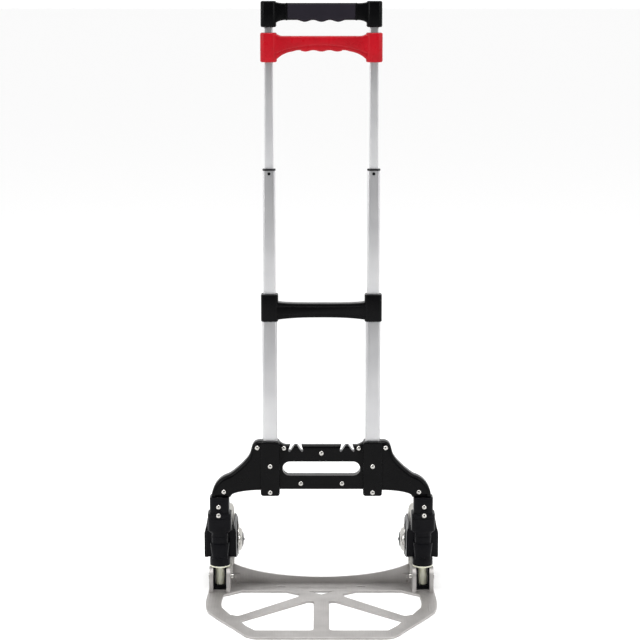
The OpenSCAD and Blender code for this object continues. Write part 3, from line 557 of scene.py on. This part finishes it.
def ear_posts(low, high, width, depth, edge):
    """The two upright posts that hold the tubes."""
    centre_y = LEG.y
    pieces = []
    for side in (-1, 1):
        outline = shift(rounded(width, depth, min(width, depth) * 0.3, 10), side * TUBE_X, centre_y)
        pieces.append(slab([outline], "XY", low, high, edge, 4))
    return pieces


class HANDTRUCK_OT_handle(bpy.types.Operator):
    """Models the top handle: two ears, flared roots and a grip sleeve with finger bumps"""
    bl_idname = "hand_truck.handle"
    bl_label = "Handle"

    def execute(self, context):
        edge = context.scene.hand_truck_sizes.grip_edge
        ear_w = HANDLE_HIGH.x - TUBE_X
        half = GRIP_HIGH.x - 6
        root = TUBE_X - ear_w + 2
        inside = TUBE_X - ROOTED
        top, low = GRIP_HIGH.z, GRIP_LOW.z + 3
        y0, y1 = GRIP_LOW.y, GRIP_HIGH.y
        flare = ([(inside, HANDLE_LOW.z + 4)]
                 + bend((root, HANDLE_LOW.z + 5), (root - 2, low - 3), (half + 8, low), (half, low), 10))
        rise = bend((half, top), (half + 8, top), (root - 5, top + 0.5), (root, top + 2.2), 8) \
            + [(inside, top + 2.2)]
        core = slab([flare + mirrored(flare) + mirrored(rise) + rise], "XZ", y0 + 0.8, y1 - 0.8,
                    edge * 0.35, 5)
        collars = [block((side * (half - 1.5) - 1.5, y0 - 0.2, low - 0.5),
                         (side * (half - 1.5) + 1.5, y1 + 0.2, top + 0.5), 0.8, 3) for side in (-1, 1)]
        posts = ear_posts(HANDLE_LOW.z, HANDLE_HIGH.z, 2 * ear_w, HANDLE_HIGH.y - HANDLE_LOW.y, 2.6)
        body = united(posts[0], core, posts[1], *collars)
        finished(smooth(body), "handle_shell", "upper_stage", "black", "handle_body")

        sleeve = ([(-half + 1, top + 0.2), (half - 1, top + 0.2)]
                  + finger_line(half - 1, GRIP_LOW.z, 3, 1.5 * 27))
        grip = slab([sleeve], "XZ", y0 + 0.2, y1 - 0.2, edge * 0.55, 5)
        finished(smooth(grip, 40), "grip_sleeve", "upper_stage", "grip", "grip_insert")
        return {"FINISHED"}


class HANDTRUCK_OT_release(bpy.types.Operator):
    """Models the release bar: ears round the tubes, an arched underside and a raised upper face"""
    bl_idname = "hand_truck.release"
    bl_label = "Release Bar"

    def execute(self, context):
        ear = RELEASE_HIGH.x - TUBE_X
        top = RELEASE_HIGH.z - 5.4
        arch = top - 25
        root = TUBE_X - ear + 2
        inside = TUBE_X - ROOTED
        y0, y1 = RELEASE_LOW.y + 1.2, RELEASE_HIGH.y - 1.2
        rise = (bend((root - 12, top), (root - 5, top), (root - 4, RELEASE_HIGH.z - 2.4),
                     (root, RELEASE_HIGH.z - 2), 8) + [(inside, RELEASE_HIGH.z - 2)])
        sweep = ([(inside, RELEASE_LOW.z + 3)]
                 + bend((root, RELEASE_LOW.z + 3), (67, arch - 7), (61, arch - 2.5), (47, arch + 0.2), 10)
                 + bend((46, arch + 0.4), (42, arch + 1.6), (40, arch + 2.2), (37, arch + 2.2), 5))
        bar = slab([mirrored(rise) + rise + sweep + finger_line(34, arch, 2.2, 33.5, 26.0, 70)
                    + mirrored(sweep)], "XZ", y0 + 1.4, y1 - 1.4, 3.2, 5)
        crest = ([(inside, RELEASE_LOW.z + 13)]
                 + bend((root, RELEASE_LOW.z + 13), (50, arch + 6.5), (26, arch + 9.5), (0, arch + 9.5), 14))
        face = [(x, min(z, RELEASE_HIGH.z - 2.8)) for x, z in rise]
        raised = slab([mirrored(face) + face + crest[:-1] + mirrored(crest)], "XZ", y0, y1, 3.0, 5)
        posts = ear_posts(RELEASE_LOW.z, RELEASE_HIGH.z, 2 * ear, RELEASE_HIGH.y - RELEASE_LOW.y, 2.4)
        body = without_tube_holes(united(bar, raised, *posts), 14.9, 10.2, RELEASE_LOW.z, RELEASE_HIGH.z, 3)
        finished(smooth(body), "release_bar_shell", "release", "red", "release_bar")
        return {"FINISHED"}


def tube_shell(node, wall=1.1, corner=0.22):
    """A drawn tube with round corners, open at its ends."""
    low, high = span(node)
    width, depth = high.x - low.x, high.y - low.y
    centre = (low + high) / 2
    r = corner * depth
    outer = shift(rounded(width, depth, r), centre.x, centre.y)
    inner = shift(rounded(width - 2 * wall, depth - 2 * wall, r - wall * 0.8), centre.x, centre.y)
    return smooth(slab([outer, inner], "XY", low.z, high.z, 0.2, 1))


class HANDTRUCK_OT_tubes(bpy.types.Operator):
    """Models the six drawn tubes and the cross-bar with its sockets"""
    bl_idname = "hand_truck.tubes"
    bl_label = "Tubes and Cross-bar"

    def execute(self, context):
        bodies = {"upper": "upper_stage", "middle": "middle_stage", "lower": "frame"}
        for stage, body in bodies.items():
            for side in SIDES:
                node = f"{stage}_tube_{side}"
                finished(tube_shell(node), f"{node}_skin", body, "tube", node)
        socket_w = 2 * (BAR_HIGH.x - TUBE_X)
        depth = BAR_HIGH.y - BAR_LOW.y
        low = BAR_LOW.z + 5.5
        root = TUBE_X - socket_w / 2 + 1
        inside = TUBE_X - ROOTED
        under = [(inside, low - 2.6)] + bend((root, low - 2.4), (52, low + 0.6), (30, low + 1.4),
                                             (4, low + 1.4), 10)
        over = bend((6, low + 24.6), (30, low + 24.6), (root - 6, low + 24.6), (root, low + 27.4), 10) \
            + [(inside, low + 27.8)]
        web = slab([under + mirrored(under) + mirrored(over) + over], "XZ", BAR_LOW.y + 2.2, BAR_HIGH.y - 2.2,
                   2.4, 4)
        shelf = [(inside, low + 4)] + bend((root, low + 4.5), (40, low + 6.5), (20, low + 6.9),
                                           (4, low + 6.9), 8)
        ledge = [(4, low + 20), (inside, low + 20)]
        rib = shelf + mirrored(shelf) + mirrored(ledge) + ledge
        panel = slab([rib], "XZ", BAR_LOW.y + 1.2, BAR_HIGH.y - 1.2, 1.4, 3)
        posts = [slab([shift(rounded(socket_w, depth, 6, 10), side * TUBE_X, LEG.y)], "XY",
                      BAR_LOW.z, BAR_HIGH.z, 1.8, 4) for side in (-1, 1)]
        body = without_tube_holes(united(posts[0], web, panel, posts[1]), TUBE_HIGH.x - TUBE_LOW.x,
                                  TUBE_HIGH.y - TUBE_LOW.y, BAR_LOW.z, BAR_HIGH.z)
        finished(smooth(body), "cross_bar_moulding", "frame", "black", "cross_bar")
        return {"FINISHED"}


def shoulder(top, end):
    """The rise from the beam's top to a band, in x and z, as far as end short of the tube's axis."""
    return bend((TUBE_X - 26, top + 0.1), (TUBE_X - 21, top + 1.2), (TUBE_X - 18, top + 3.6),
                (TUBE_X - end, top + 6), 7)


def frame_outline():
    """The frame's outline in x and z, symmetrical about x = 0."""
    low = SLEEVE_HIGH.z
    base = low + 12
    top = base + 77
    band = TUBE_X + 17.5
    out = LEG.x + 14.2
    half = ([(TUBE_X - 27, top)]
            + shoulder(top, 16)
            + [(band - 3, top + 7.8)]
            + bend((band, top + 8), (band + 9, top + 7.5), (band + 11.5, top + 3), (band + 13.5, top - 3), 8)
            + bend((band + 16, top - 13), (band + 20, top - 24), (LEG.x - 33, top - 38),
                   (LEG.x - 19.5, top - 48), 12)
            + bend((LEG.x - 16, top - 50), (LEG.x + 4, top - 57), (out - 4, base + 8), (out, low), 18)
            + [(LEG.x - 18.5, low)]
            + bend((LEG.x - 21.5, low + 4.5), (LEG.x - 30, base - 3), (LEG.x - 48, base - 0.5),
                   (TUBE_X + 15, base), 12))
    return half + mirrored(half), base, top


def half_of(piece, keep_front):
    """Cuts a closed piece in the plane of the legs' axes and keeps one half."""
    alone(piece)
    bpy.ops.object.mode_set(mode="EDIT")
    bpy.ops.mesh.select_all(action="SELECT")
    shift_y = -0.06 if keep_front else 0.06
    bpy.ops.mesh.bisect(plane_co=(0, (LEG.y + shift_y) * MM, 0), plane_no=(0, 1, 0), use_fill=True,
                        clear_outer=keep_front, clear_inner=not keep_front)
    bpy.ops.object.mode_set(mode="OBJECT")
    return cleaned(piece)


class HANDTRUCK_OT_frame(bpy.types.Operator):
    """Models the two shells of the frame with the carry slot, hook notches and socket bands"""
    bl_idname = "hand_truck.frame"
    bl_label = "Frame Shells"

    def execute(self, context):
        edge = context.scene.hand_truck_sizes.frame_edge
        outline, base, top = frame_outline()
        y0, y1 = LEG.y - 13, LEG.y + 13
        body = slab([outline], "XZ", y0, y1, edge, 6)
        slot_w, slot_h, slot_z = 130, 24, base + 37.5
        inner = TUBE_X - 13
        beam_in = 4.0
        # the beam between the bands is thinner than the arms, and rounded along its top and bottom
        waist = shoulder(top, 15) + [(inner + 6, top + 6.6), (inner + 6, base + 1)]
        waist = waist + mirrored(waist)
        beam = slab([waist], "XZ", y0 + beam_in, y1 - beam_in, 4.5, 5)
        gap = [(inner, top + 20), (-inner, top + 20), (-inner, base - 20), (inner, base - 20)]
        body = united(cut(body, slab([gap], "XZ", y0 - CLEAR, y1 + CLEAR)), beam)
        cutters = [slab([shift(rounded(slot_w, slot_h, slot_h / 2 - 0.1, 12), 0, slot_z)], "XZ", y0 - CLEAR, y1 + CLEAR)]
        for side in (-1, 1):
            for foot, lean in ((TUBE_X - 53.2, -9.0), (TUBE_X - 32.3, 10.0)):
                w, wide = 2.2, 5.2
                foot_z = top - 8.5
                notch = ([(foot - lean - wide, top + 9), (foot - lean + wide, top + 9), (foot + w, foot_z)]
                         + arc(foot, foot_z, w, 0, -180, 6)[1:-1] + [(foot - w, foot_z)])
                notch = [(side * x, z) for x, z in notch]
                cutters.append(slab([notch], "XZ", y0 - CLEAR, y1 + CLEAR))
        body = cut(body, *cutters)
        bevelled(body, 0.9, 3, 50)
        bands = []
        band_w, band_top = 32, top + 7.2
        for side in (-1, 1):
            face = shift(rounded(band_w, band_top - TUBE_LOW.z, 4.5, 6), side * TUBE_X,
                         (band_top + TUBE_LOW.z) / 2)
            bands.append(slab([face], "XZ", FRAME_LOW.y, 2 * LEG.y - FRAME_LOW.y, 2.2, 4))
        body = united(body, *bands)
        body = without_tube_holes(body, TUBE_HIGH.x - TUBE_LOW.x + 0.1, TUBE_HIGH.y - TUBE_LOW.y + 0.1,
                                  TUBE_LOW.z, top + 25)
        back = copied(body)
        finished(smooth(half_of(body, True)), "frame_shell_front", "frame", "black", "frame_front_shell")
        finished(smooth(half_of(back, False)), "frame_shell_back", "frame", "black", "frame_rear_shell")
        return {"FINISHED"}


def rivet_profile(r, h):
    """A domed head with a small dimple in the middle of its crown."""
    crown = [(r * math.cos(math.radians(a)), h * math.sin(math.radians(a))) for a in range(0, 76, 9)]
    dimple = [(r * 0.2, h * 0.98), (r * 0.16, h * 0.9), (r * 0.1, h * 0.78), (0, h * 0.76)]
    return [(0, 0), (r * 1.0, 0)] + crown[1:] + dimple


class HANDTRUCK_OT_rivets(bpy.types.Operator):
    """Puts a domed head at both ends of every rivet"""
    bl_idname = "hand_truck.rivets"
    bl_label = "Rivets"

    def execute(self, context):
        head_r, head_h, seat = 4.2, 2.7, 2.6
        front = turned(rivet_profile(head_r, head_h), (0, 0, 0), "Y", 32)
        for node in ("frame_rivets", "leg_rivets"):
            heads = []
            for centre, low, high in islands(node):
                heads.append(copied(front, (centre.x, low.y + seat, centre.z)))
                back = copied(front)
                back.scale.y = -1
                settle(cleaned(back))
                back.location = Vector((centre.x, high.y - seat, centre.z)) * MM
                heads.append(cleaned(settle(back)))
            finished(smooth(joined("heads", heads)), f"{node}_domed", "frame", "nickel", node)
        bpy.data.objects.remove(front)
        return {"FINISHED"}


def lofted(rings):
    """A closed form through outlines at given heights, bridged in order."""
    bpy.ops.object.select_all(action="DESELECT")
    count = len(rings[0][1])
    bpy.ops.mesh.primitive_circle_add(vertices=count, radius=1, fill_type="NGON")
    piece = bpy.context.object
    for vertex, (x, y) in zip(piece.data.vertices, rings[0][1]):
        vertex.co = (x * MM, y * MM, rings[0][0] * MM)
    alone(piece)
    for z, outline in rings[1:]:
        bpy.ops.object.mode_set(mode="EDIT")
        bpy.ops.mesh.extrude_region_move(TRANSFORM_OT_translate={"value": (0, 0, MM)})
        bpy.ops.object.mode_set(mode="OBJECT")
        chosen = [v for v in piece.data.vertices if v.select]
        for vertex, (x, y) in zip(chosen, outline):
            vertex.co = (x * MM, y * MM, z * MM)
    return cleaned(piece)


class HANDTRUCK_OT_legs(bpy.types.Operator):
    """Models the sleeves under the frame's ends"""
    bl_idname = "hand_truck.legs"
    bl_label = "Leg Sleeves"

    def execute(self, context):
        step = SLEEVE_LOW.z + 7.5
        for side, sign in SIDES.items():
            upper = slab([shift(rounded(32.6, 32, 7, 10), sign * LEG.x, LEG.y)], "XY", step - 2,
                         SLEEVE_HIGH.z, 1.2, 3)
            lower = slab([shift(rounded(39.7, 38, 9, 10), sign * LEG.x, LEG.y)], "XY", SLEEVE_LOW.z, step,
                         1.0, 3)
            pad = drum((sign * (LEG.x + 1.2), LEG.y - 17.2, step + 1), "Y", 5.2, 1.8, 40, 0.5)
            body = united(upper, lower, pad)
            hole = drum((sign * LEG.x, LEG.y, step), "Z", 9.05, 40)
            finished(smooth(cut(body, hole)), f"leg_sleeve_{side}_moulding", "frame", "matt_black",
                     f"leg_sleeve_{side}")
        return {"FINISHED"}


class HANDTRUCK_OT_forks(bpy.types.Operator):
    """Models the wheel forks: knuckle, waisted neck, collar and two cheeks with ribs"""
    bl_idname = "hand_truck.forks"
    bl_label = "Wheel Forks"

    def execute(self, context):
        x, y = LEG.x, LEG.y
        top = FORK_HIGH.z
        half = (FORK_HIGH.x - FORK_LOW.x) / 2

        def ring(w, d, r):
            return shift(rounded(w, d, r, 8), x, y)

        knuckle = lofted([(103.5, ring(27, 29, 6.5)), (110, ring(39.7, 38, 9)),
                          (top - 0.8, ring(39.7, 38, 9)), (top, ring(38.4, 36.7, 8.4))])
        neck = lofted([(59, ring(27, 30, 7)), (65, ring(27.4, 30.4, 7)), (85.4, ring(32, 33.4, 8)),
                       (86.8, ring(31, 32.4, 8)), (87.2, ring(27, 30, 7)), (106, ring(27, 30, 7))])
        collar = drum((x, y, (47.5 + 60) / 2), "Z", 17.3, 6.25, 72, 1.8)
        ribs = [slab([ring(w, d, r)], "XY", z, z + 1.6, 0.5, 2)
                for z, w, d, r in ((62, 28.6, 31.4, 7.5), (97, 28.4, 31.2, 7.5))]
        cheek = ([(y + 10, 57), (y + 34, 49.5), (AXLE.y - 16, AXLE.z - 26)]
                 + arc(AXLE.y, AXLE.z, 26, -80, 20, 20)
                 + bend((AXLE.y + 22, AXLE.z + 16), (AXLE.y + 16, AXLE.z + 32), (AXLE.y + 2, top - 18.9),
                        (AXLE.y - 14, top - 18.9), 14) + [(y + 24, top - 18.9), (y + 10, top - 25)])
        # the cheeks lean in above their bend
        lean, bend_z, crown = 4, 99, top - 18
        cheek = [(v, w + 1) if w > bend_z else (v, w) for v, w in cheek]
        plates = []
        for side in (-1, 1):
            faces = sorted((x + side * (half - 5.5), x + side * half))
            plate = slab([cheek], "YZ", *faces, 1.6, 4)
            wedge = [(x + side * (half + 0.2), bend_z - 1), (x + side * (half + 6), bend_z - 1),
                     (x + side * (half + 6), crown + 3), (x + side * (half - lean - 0.8), crown + 3)]
            plates.append(cut(plate, slab([wedge], "XZ", y, AXLE.y + 40)))
        bridge_side = [(y + 8, 58), (y + 27, 53), (y + 27, top - 22), (y + 8, top - 27)]
        bridge = slab([bridge_side], "YZ", x - half + 3, x + half - 3, 1.6, 4)
        body = united(knuckle, neck, collar, *ribs, bridge, *plates)
        recess = [[(y + 34, 60), (AXLE.y - 34, 56), (AXLE.y - 31, 80), (AXLE.y - 12, top - 26),
                   (y + 34, top - 26)]]
        for a, b in ((x - half - 1, x - half + 1.2), (x + half - 1.2, x + half + 1)):
            body = cut(body, slab(recess, "YZ", a, b))
        body = cut(body, drum((x, y, 95), "Z", 11.02, 35), drum((x, y, 50), "Z", 4.6, 12),
                   drum((x, AXLE.y, AXLE.z), "X", 5.02, 40),
                   drum((x + half, AXLE.y, AXLE.z), "X", 9.5, 3))
        smooth(body, 35)
        flipped = copied(body, flip=True)
        finished(body, "wheel_fork_right_moulding", "fork_right", "matt_black", "wheel_fork_right")
        finished(smooth(flipped, 35), "wheel_fork_left_moulding", "fork_left", "matt_black",
                 "wheel_fork_left")
        return {"FINISHED"}


class HANDTRUCK_OT_wheels(bpy.types.Operator):
    """Turns the tyres, spoked hubs, domed caps and their dark centres"""
    bl_idname = "hand_truck.wheels"
    bl_label = "Wheels"

    def execute(self, context):
        groove = context.scene.hand_truck_sizes.tread_groove
        half = WHEEL_W / 2
        rim = WHEEL_R - 15.5
        edge = 9
        tread = []
        for centre in (5.5, -5.5):
            tread += [(WHEEL_R, centre + groove / 2 + 0.5), (WHEEL_R - 0.5, centre + groove / 2),
                      (WHEEL_R - 1.5, centre + groove / 2 - 0.3), (WHEEL_R - 1.5, centre - groove / 2 + 0.3),
                      (WHEEL_R - 0.5, centre - groove / 2), (WHEEL_R, centre - groove / 2 - 0.5)]
        tyre_line = ([(rim, -half + 3), (rim + 1.2, -half + 0.8), (rim + 3, -half)]
                     + arc(WHEEL_R - edge, -half + edge, edge, -90, 0, 10)
                     + list(reversed(tread))
                     + arc(WHEEL_R - edge, half - edge, edge, 0, 90, 10)
                     + [(rim + 3, half), (rim + 1.2, half - 0.8), (rim, half - 3)])
        hub_line = ([(8, -half + 1), (14, -half + 1)] + arc(14.5, -half + 2.5, 1.5, -90, 0, 4)
                    + [(17, -half + 10.5), (rim - 7, -half + 10.5), (rim - 5.5, -half + 4)]
                    + arc(rim - 3.5, -half + 4, 1.8, 180, 270, 4) + [(rim, -half + 2.6)]
                    + [(rim, half - 2.6)] + list(reversed(arc(rim - 3.5, half - 4, 1.8, 180, 90, 4)))
                    + [(rim - 5.5, half - 4), (rim - 7, half - 10.5), (17, half - 10.5)]
                    + arc(14.5, half - 2.5, 1.5, 0, 90, 4) + [(14, half - 1), (8, half - 1)])
        centre = (AXLE.x, AXLE.y, AXLE.z)
        tyre = smooth(turned(tyre_line, centre, "X", 128), 30)
        hub = smooth(turned(hub_line, centre, "X", 96), 30)
        spoke_from, spoke_to = 15.5, rim - 5
        spokes = []
        for i in range(6):
            spoke = block((AXLE.x - half + 5, AXLE.y - 2.6, AXLE.z + spoke_from),
                          (AXLE.x + half - 5, AXLE.y + 2.6, AXLE.z + spoke_to), 1.0, 3)
            alone(spoke)
            bpy.ops.object.mode_set(mode="EDIT")
            bpy.ops.mesh.select_all(action="SELECT")
            bpy.ops.transform.rotate(value=math.radians(60 * i), orient_axis="X",
                                     center_override=Vector(centre) * MM)
            bpy.ops.object.mode_set(mode="OBJECT")
            spokes.append(spoke)
        hub = smooth(joined("hub", [hub] + spokes), 30)
        cap_low, cap_high = span("hub_cap_right")
        base, tip = cap_high.x, cap_low.x
        rise = base - tip
        cap_line = ([(5, 0.0), (26.0, 0.0), (26.5, 0.4), (26.5, 1.0), (26.1, 1.4), (21.6, 1.4)]
                    + bend((20.8, 1.9), (19.6, 5.2), (17.4, rise - 0.1), (13.8, rise), 10)
                    + [(13.2, rise - 0.7), (5, rise - 0.7)])
        cap = smooth(turned([(r, -a) for r, a in cap_line], (base, AXLE.y, AXLE.z), "X", 72), 30)
        centre_line = ([(0, -0.8), (13.0, -0.8), (13.0, 0.2)]
                       + bend((12.2, 0.9), (9.5, 1.9), (7.5, 2.0), (5.0, 2.1), 6)
                       + [(3.6, 2.3), (2.4, 3.0), (1.0, 3.6), (0, 3.7)])
        boss = smooth(turned([(r, -a) for r, a in centre_line], (tip, AXLE.y, AXLE.z), "X", 48), 30)
        for name, piece, body, finish in (("tyre", tyre, "wheel", "tyre"), ("hub", hub, "wheel", "black"),
                                          ("hub_cap", cap, "fork", "nickel"),
                                          ("cap_centre", boss, "fork", "black")):
            other = smooth(copied(piece, flip=True), 30)
            finished(piece, f"{name}_right_detail", f"{body}_right", finish, f"{name}_right")
            finished(other, f"{name}_left_detail", f"{body}_left", finish, f"{name}_left")
        return {"FINISHED"}


def plate_outlines():
    """The toe plate's outline and its cut-outs, in x and y."""
    front = PLATE_LOW.y - LEG.y
    back = PLATE_HIGH.y - LEG.y
    side_x = LEG.x + 19
    ear = LEG.x - 17.7
    rim = front + 36.5
    half = ([(ear - 3.5, back)] + arc(ear - 3.5, back - 3, 3, 80, 30, 2)
            + [(LEG.x + 15.7, back - 3)] + arc(side_x - 6, back - 9, 6, 70, 0, 5)
            + bend((side_x + 0.5, -20), (side_x + 2.5, -55), (side_x + 4.5, -112), (side_x - 10, -135), 16)
            + bend((side_x - 10, -135), (side_x - 27, -171), (side_x - 46, front + 58),
                   (side_x - 64, front + 22), 16)[1:]
            + bend((side_x - 64, front + 22), (side_x - 70, front + 10), (side_x - 79, front),
                   (side_x - 92, front), 10)[1:])
    upper = (bend((LEG.x - 7, -33), (LEG.x - 5, -55), (LEG.x - 4, -88), (LEG.x - 8.5, -104), 12)
             + [(LEG.x - 23.5, -141)] + arc(LEG.x - 34, -137, 8, -30, -130, 8) + [(38.5, -43)]
             + arc(45, -31, 8, 200, 110, 8)
             + [(59, -11.5), (LEG.x - 36.5, -10.5), (LEG.x - 16.5, -27)])
    lower = (arc(LEG.x - 47, -173, 6, 40, -30, 6)
             + [(LEG.x - 50.5, rim + 22.5), (LEG.x - 65.5, rim), (19, rim)]
             + arc(20, rim + 7.5, 7.5, 250, 180, 6) + [(12.6, -77)] + arc(20, -74, 7.5, 170, 50, 8))
    centre = [(24.3, -10.5), (0, -31), (-24.3, -10.5)]
    cuts = [upper, mirrored(upper), lower, mirrored(lower), centre]
    for side in (-1, 1):
        cuts.append(shift(rounded(15, 6, 2.9, 5), side * 68, 14))
    return [shift(line, 0, LEG.y) for line in [half + mirrored(half)] + cuts]


class HANDTRUCK_OT_toe_plate(bpy.types.Operator):
    """Models the toe plate: a fan of ribs between cut-outs, and the flange that stands along its back"""
    bl_idname = "hand_truck.toe_plate"
    bl_label = "Toe Plate"

    def execute(self, context):
        edge = context.scene.hand_truck_sizes.plate_edge
        thick = PLATE_LOW.z + PLATE_T
        sheet = slab(plate_outlines(), "XY", PLATE_LOW.z, thick, edge, 3)
        line = block((-44, LEG.y + 2, thick - 0.7), (44, LEG.y + 5, thick + 2), 0.3, 2)
        sheet = cut(sheet, line)
        end = LEG.x - 19.4
        tall = PLATE_HIGH.z
        face = ([(-end, 1.5), (end, 1.5), (end, tall - 3)]
                + bend((end - 3, tall), (end - 66, 7), (66 - end, 7), (3 - end, tall), 30)
                + [(-end, tall - 3)])
        flange = slab([face], "XZ", PLATE_HIGH.y - 3, PLATE_HIGH.y, 0.8, 3)
        body = joined("plate", [sheet, flange])
        finished(smooth(body, 35), "toe_plate_sheet", "toe", "plate", "toe_plate")
        return {"FINISHED"}


class HANDTRUCK_OT_stage(bpy.types.Operator):
    """Makes the pale floor, the studio lights and the camera"""
    bl_idname = "hand_truck.stage"
    bl_label = "Studio"

    def execute(self, context):
        scene = context.scene
        bpy.ops.object.select_all(action="DESELECT")
        bpy.ops.mesh.primitive_plane_add(size=60, location=(0, 20.0, 0))
        floor = bpy.context.object
        floor.name = "floor"
        material, tree, main = surface("pale_floor", {"Roughness": 0.9})
        main.inputs["Base Color"].default_value = linear("#FFFFFF")
        floor.data.materials.append(material)

        world = bpy.data.worlds.new("studio")
        scene.world = world
        world.use_nodes = True
        tree = world.node_tree
        background = tree.nodes["Background"]
        background.inputs["Strength"].default_value = 1.15
        # white on every side but the front, so that flat dark faces stay dark and their edges shine
        axes = add(tree, "SeparateXYZ", [("Vector", add(tree, "TexCoord").outputs["Generated"])])
        ahead = add(tree, "Math", [(0, axes.outputs["Y"])], operation="MULTIPLY")
        ahead.inputs[1].default_value = -1
        tree.links.new(background.inputs["Color"], ramp(tree, ahead.outputs["Value"], grey(1.0), grey(0.14),
                                                        0.25, 0.75))

        for name, place, aim, width, depth, watts in (
                ("left_strip", (-2.6, -1.9, 1.9), (0, 0, 0.5), 0.35, 2.2, 34),
                ("right_strip", (2.6, -1.9, 1.9), (0, 0, 0.5), 0.35, 2.2, 26),
                ("top", (0, -0.3, 3.0), (0, 0, 0.2), 1.8, 1.0, 46)):
            bpy.ops.object.light_add(type="AREA", location=place)
            light = bpy.context.object
            light.name = name
            light.data.shape = "RECTANGLE"
            light.data.size = width
            light.data.size_y = depth
            light.data.energy = watts
            light.rotation_euler = (Vector(aim) - Vector(place)).to_track_quat("-Z", "Y").to_euler()

        aside, distance, height, pitch = -2.3, 3335, 1044.6, 9.82
        bpy.ops.object.camera_add(location=(aside * MM, (LEG.y - distance) * MM, height * MM),
                                  rotation=(math.radians(90 - pitch), 0, 0))
        camera = bpy.context.object
        camera.name = "camera"
        camera.data.sensor_width = 36
        camera.data.lens = 114.65
        scene.camera = camera
        scene.view_settings.view_transform = "Standard"
        return {"FINISHED"}


class HANDTRUCK_PT_panel(bpy.types.Panel):
    """Lists the pieces in the 3D view's sidebar"""
    bl_label = "Hand Truck"
    bl_idname = "HANDTRUCK_PT_panel"
    bl_space_type = "VIEW_3D"
    bl_region_type = "UI"
    bl_category = "Hand Truck"

    def draw(self, context):
        layout = self.layout
        for group in (context.scene.hand_truck_sizes, context.scene.hand_truck_colours):
            for name in group.__annotations__:
                layout.prop(group, name)
        for operator in OPERATORS:
            layout.operator(operator.bl_idname)


OPERATORS = (
    HANDTRUCK_OT_materials, HANDTRUCK_OT_handle, HANDTRUCK_OT_release, HANDTRUCK_OT_tubes,
    HANDTRUCK_OT_frame, HANDTRUCK_OT_rivets, HANDTRUCK_OT_legs, HANDTRUCK_OT_forks,
    HANDTRUCK_OT_wheels, HANDTRUCK_OT_toe_plate, HANDTRUCK_OT_stage,
)
CLASSES = (HandTruckSizes, HandTruckColours) + OPERATORS + (HANDTRUCK_PT_panel,)


def register():
    for item in CLASSES:
        bpy.utils.register_class(item)
    bpy.types.Scene.hand_truck_sizes = bpy.props.PointerProperty(type=HandTruckSizes)
    bpy.types.Scene.hand_truck_colours = bpy.props.PointerProperty(type=HandTruckColours)


def unregister():
    del bpy.types.Scene.hand_truck_colours
    del bpy.types.Scene.hand_truck_sizes
    for item in reversed(CLASSES):
        bpy.utils.unregister_class(item)


def main():
    register()
    for operator in OPERATORS:
        group, name = operator.bl_idname.split(".")
        getattr(getattr(bpy.ops, group), name)()
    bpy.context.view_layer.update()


if __name__ == "__main__":
    main()
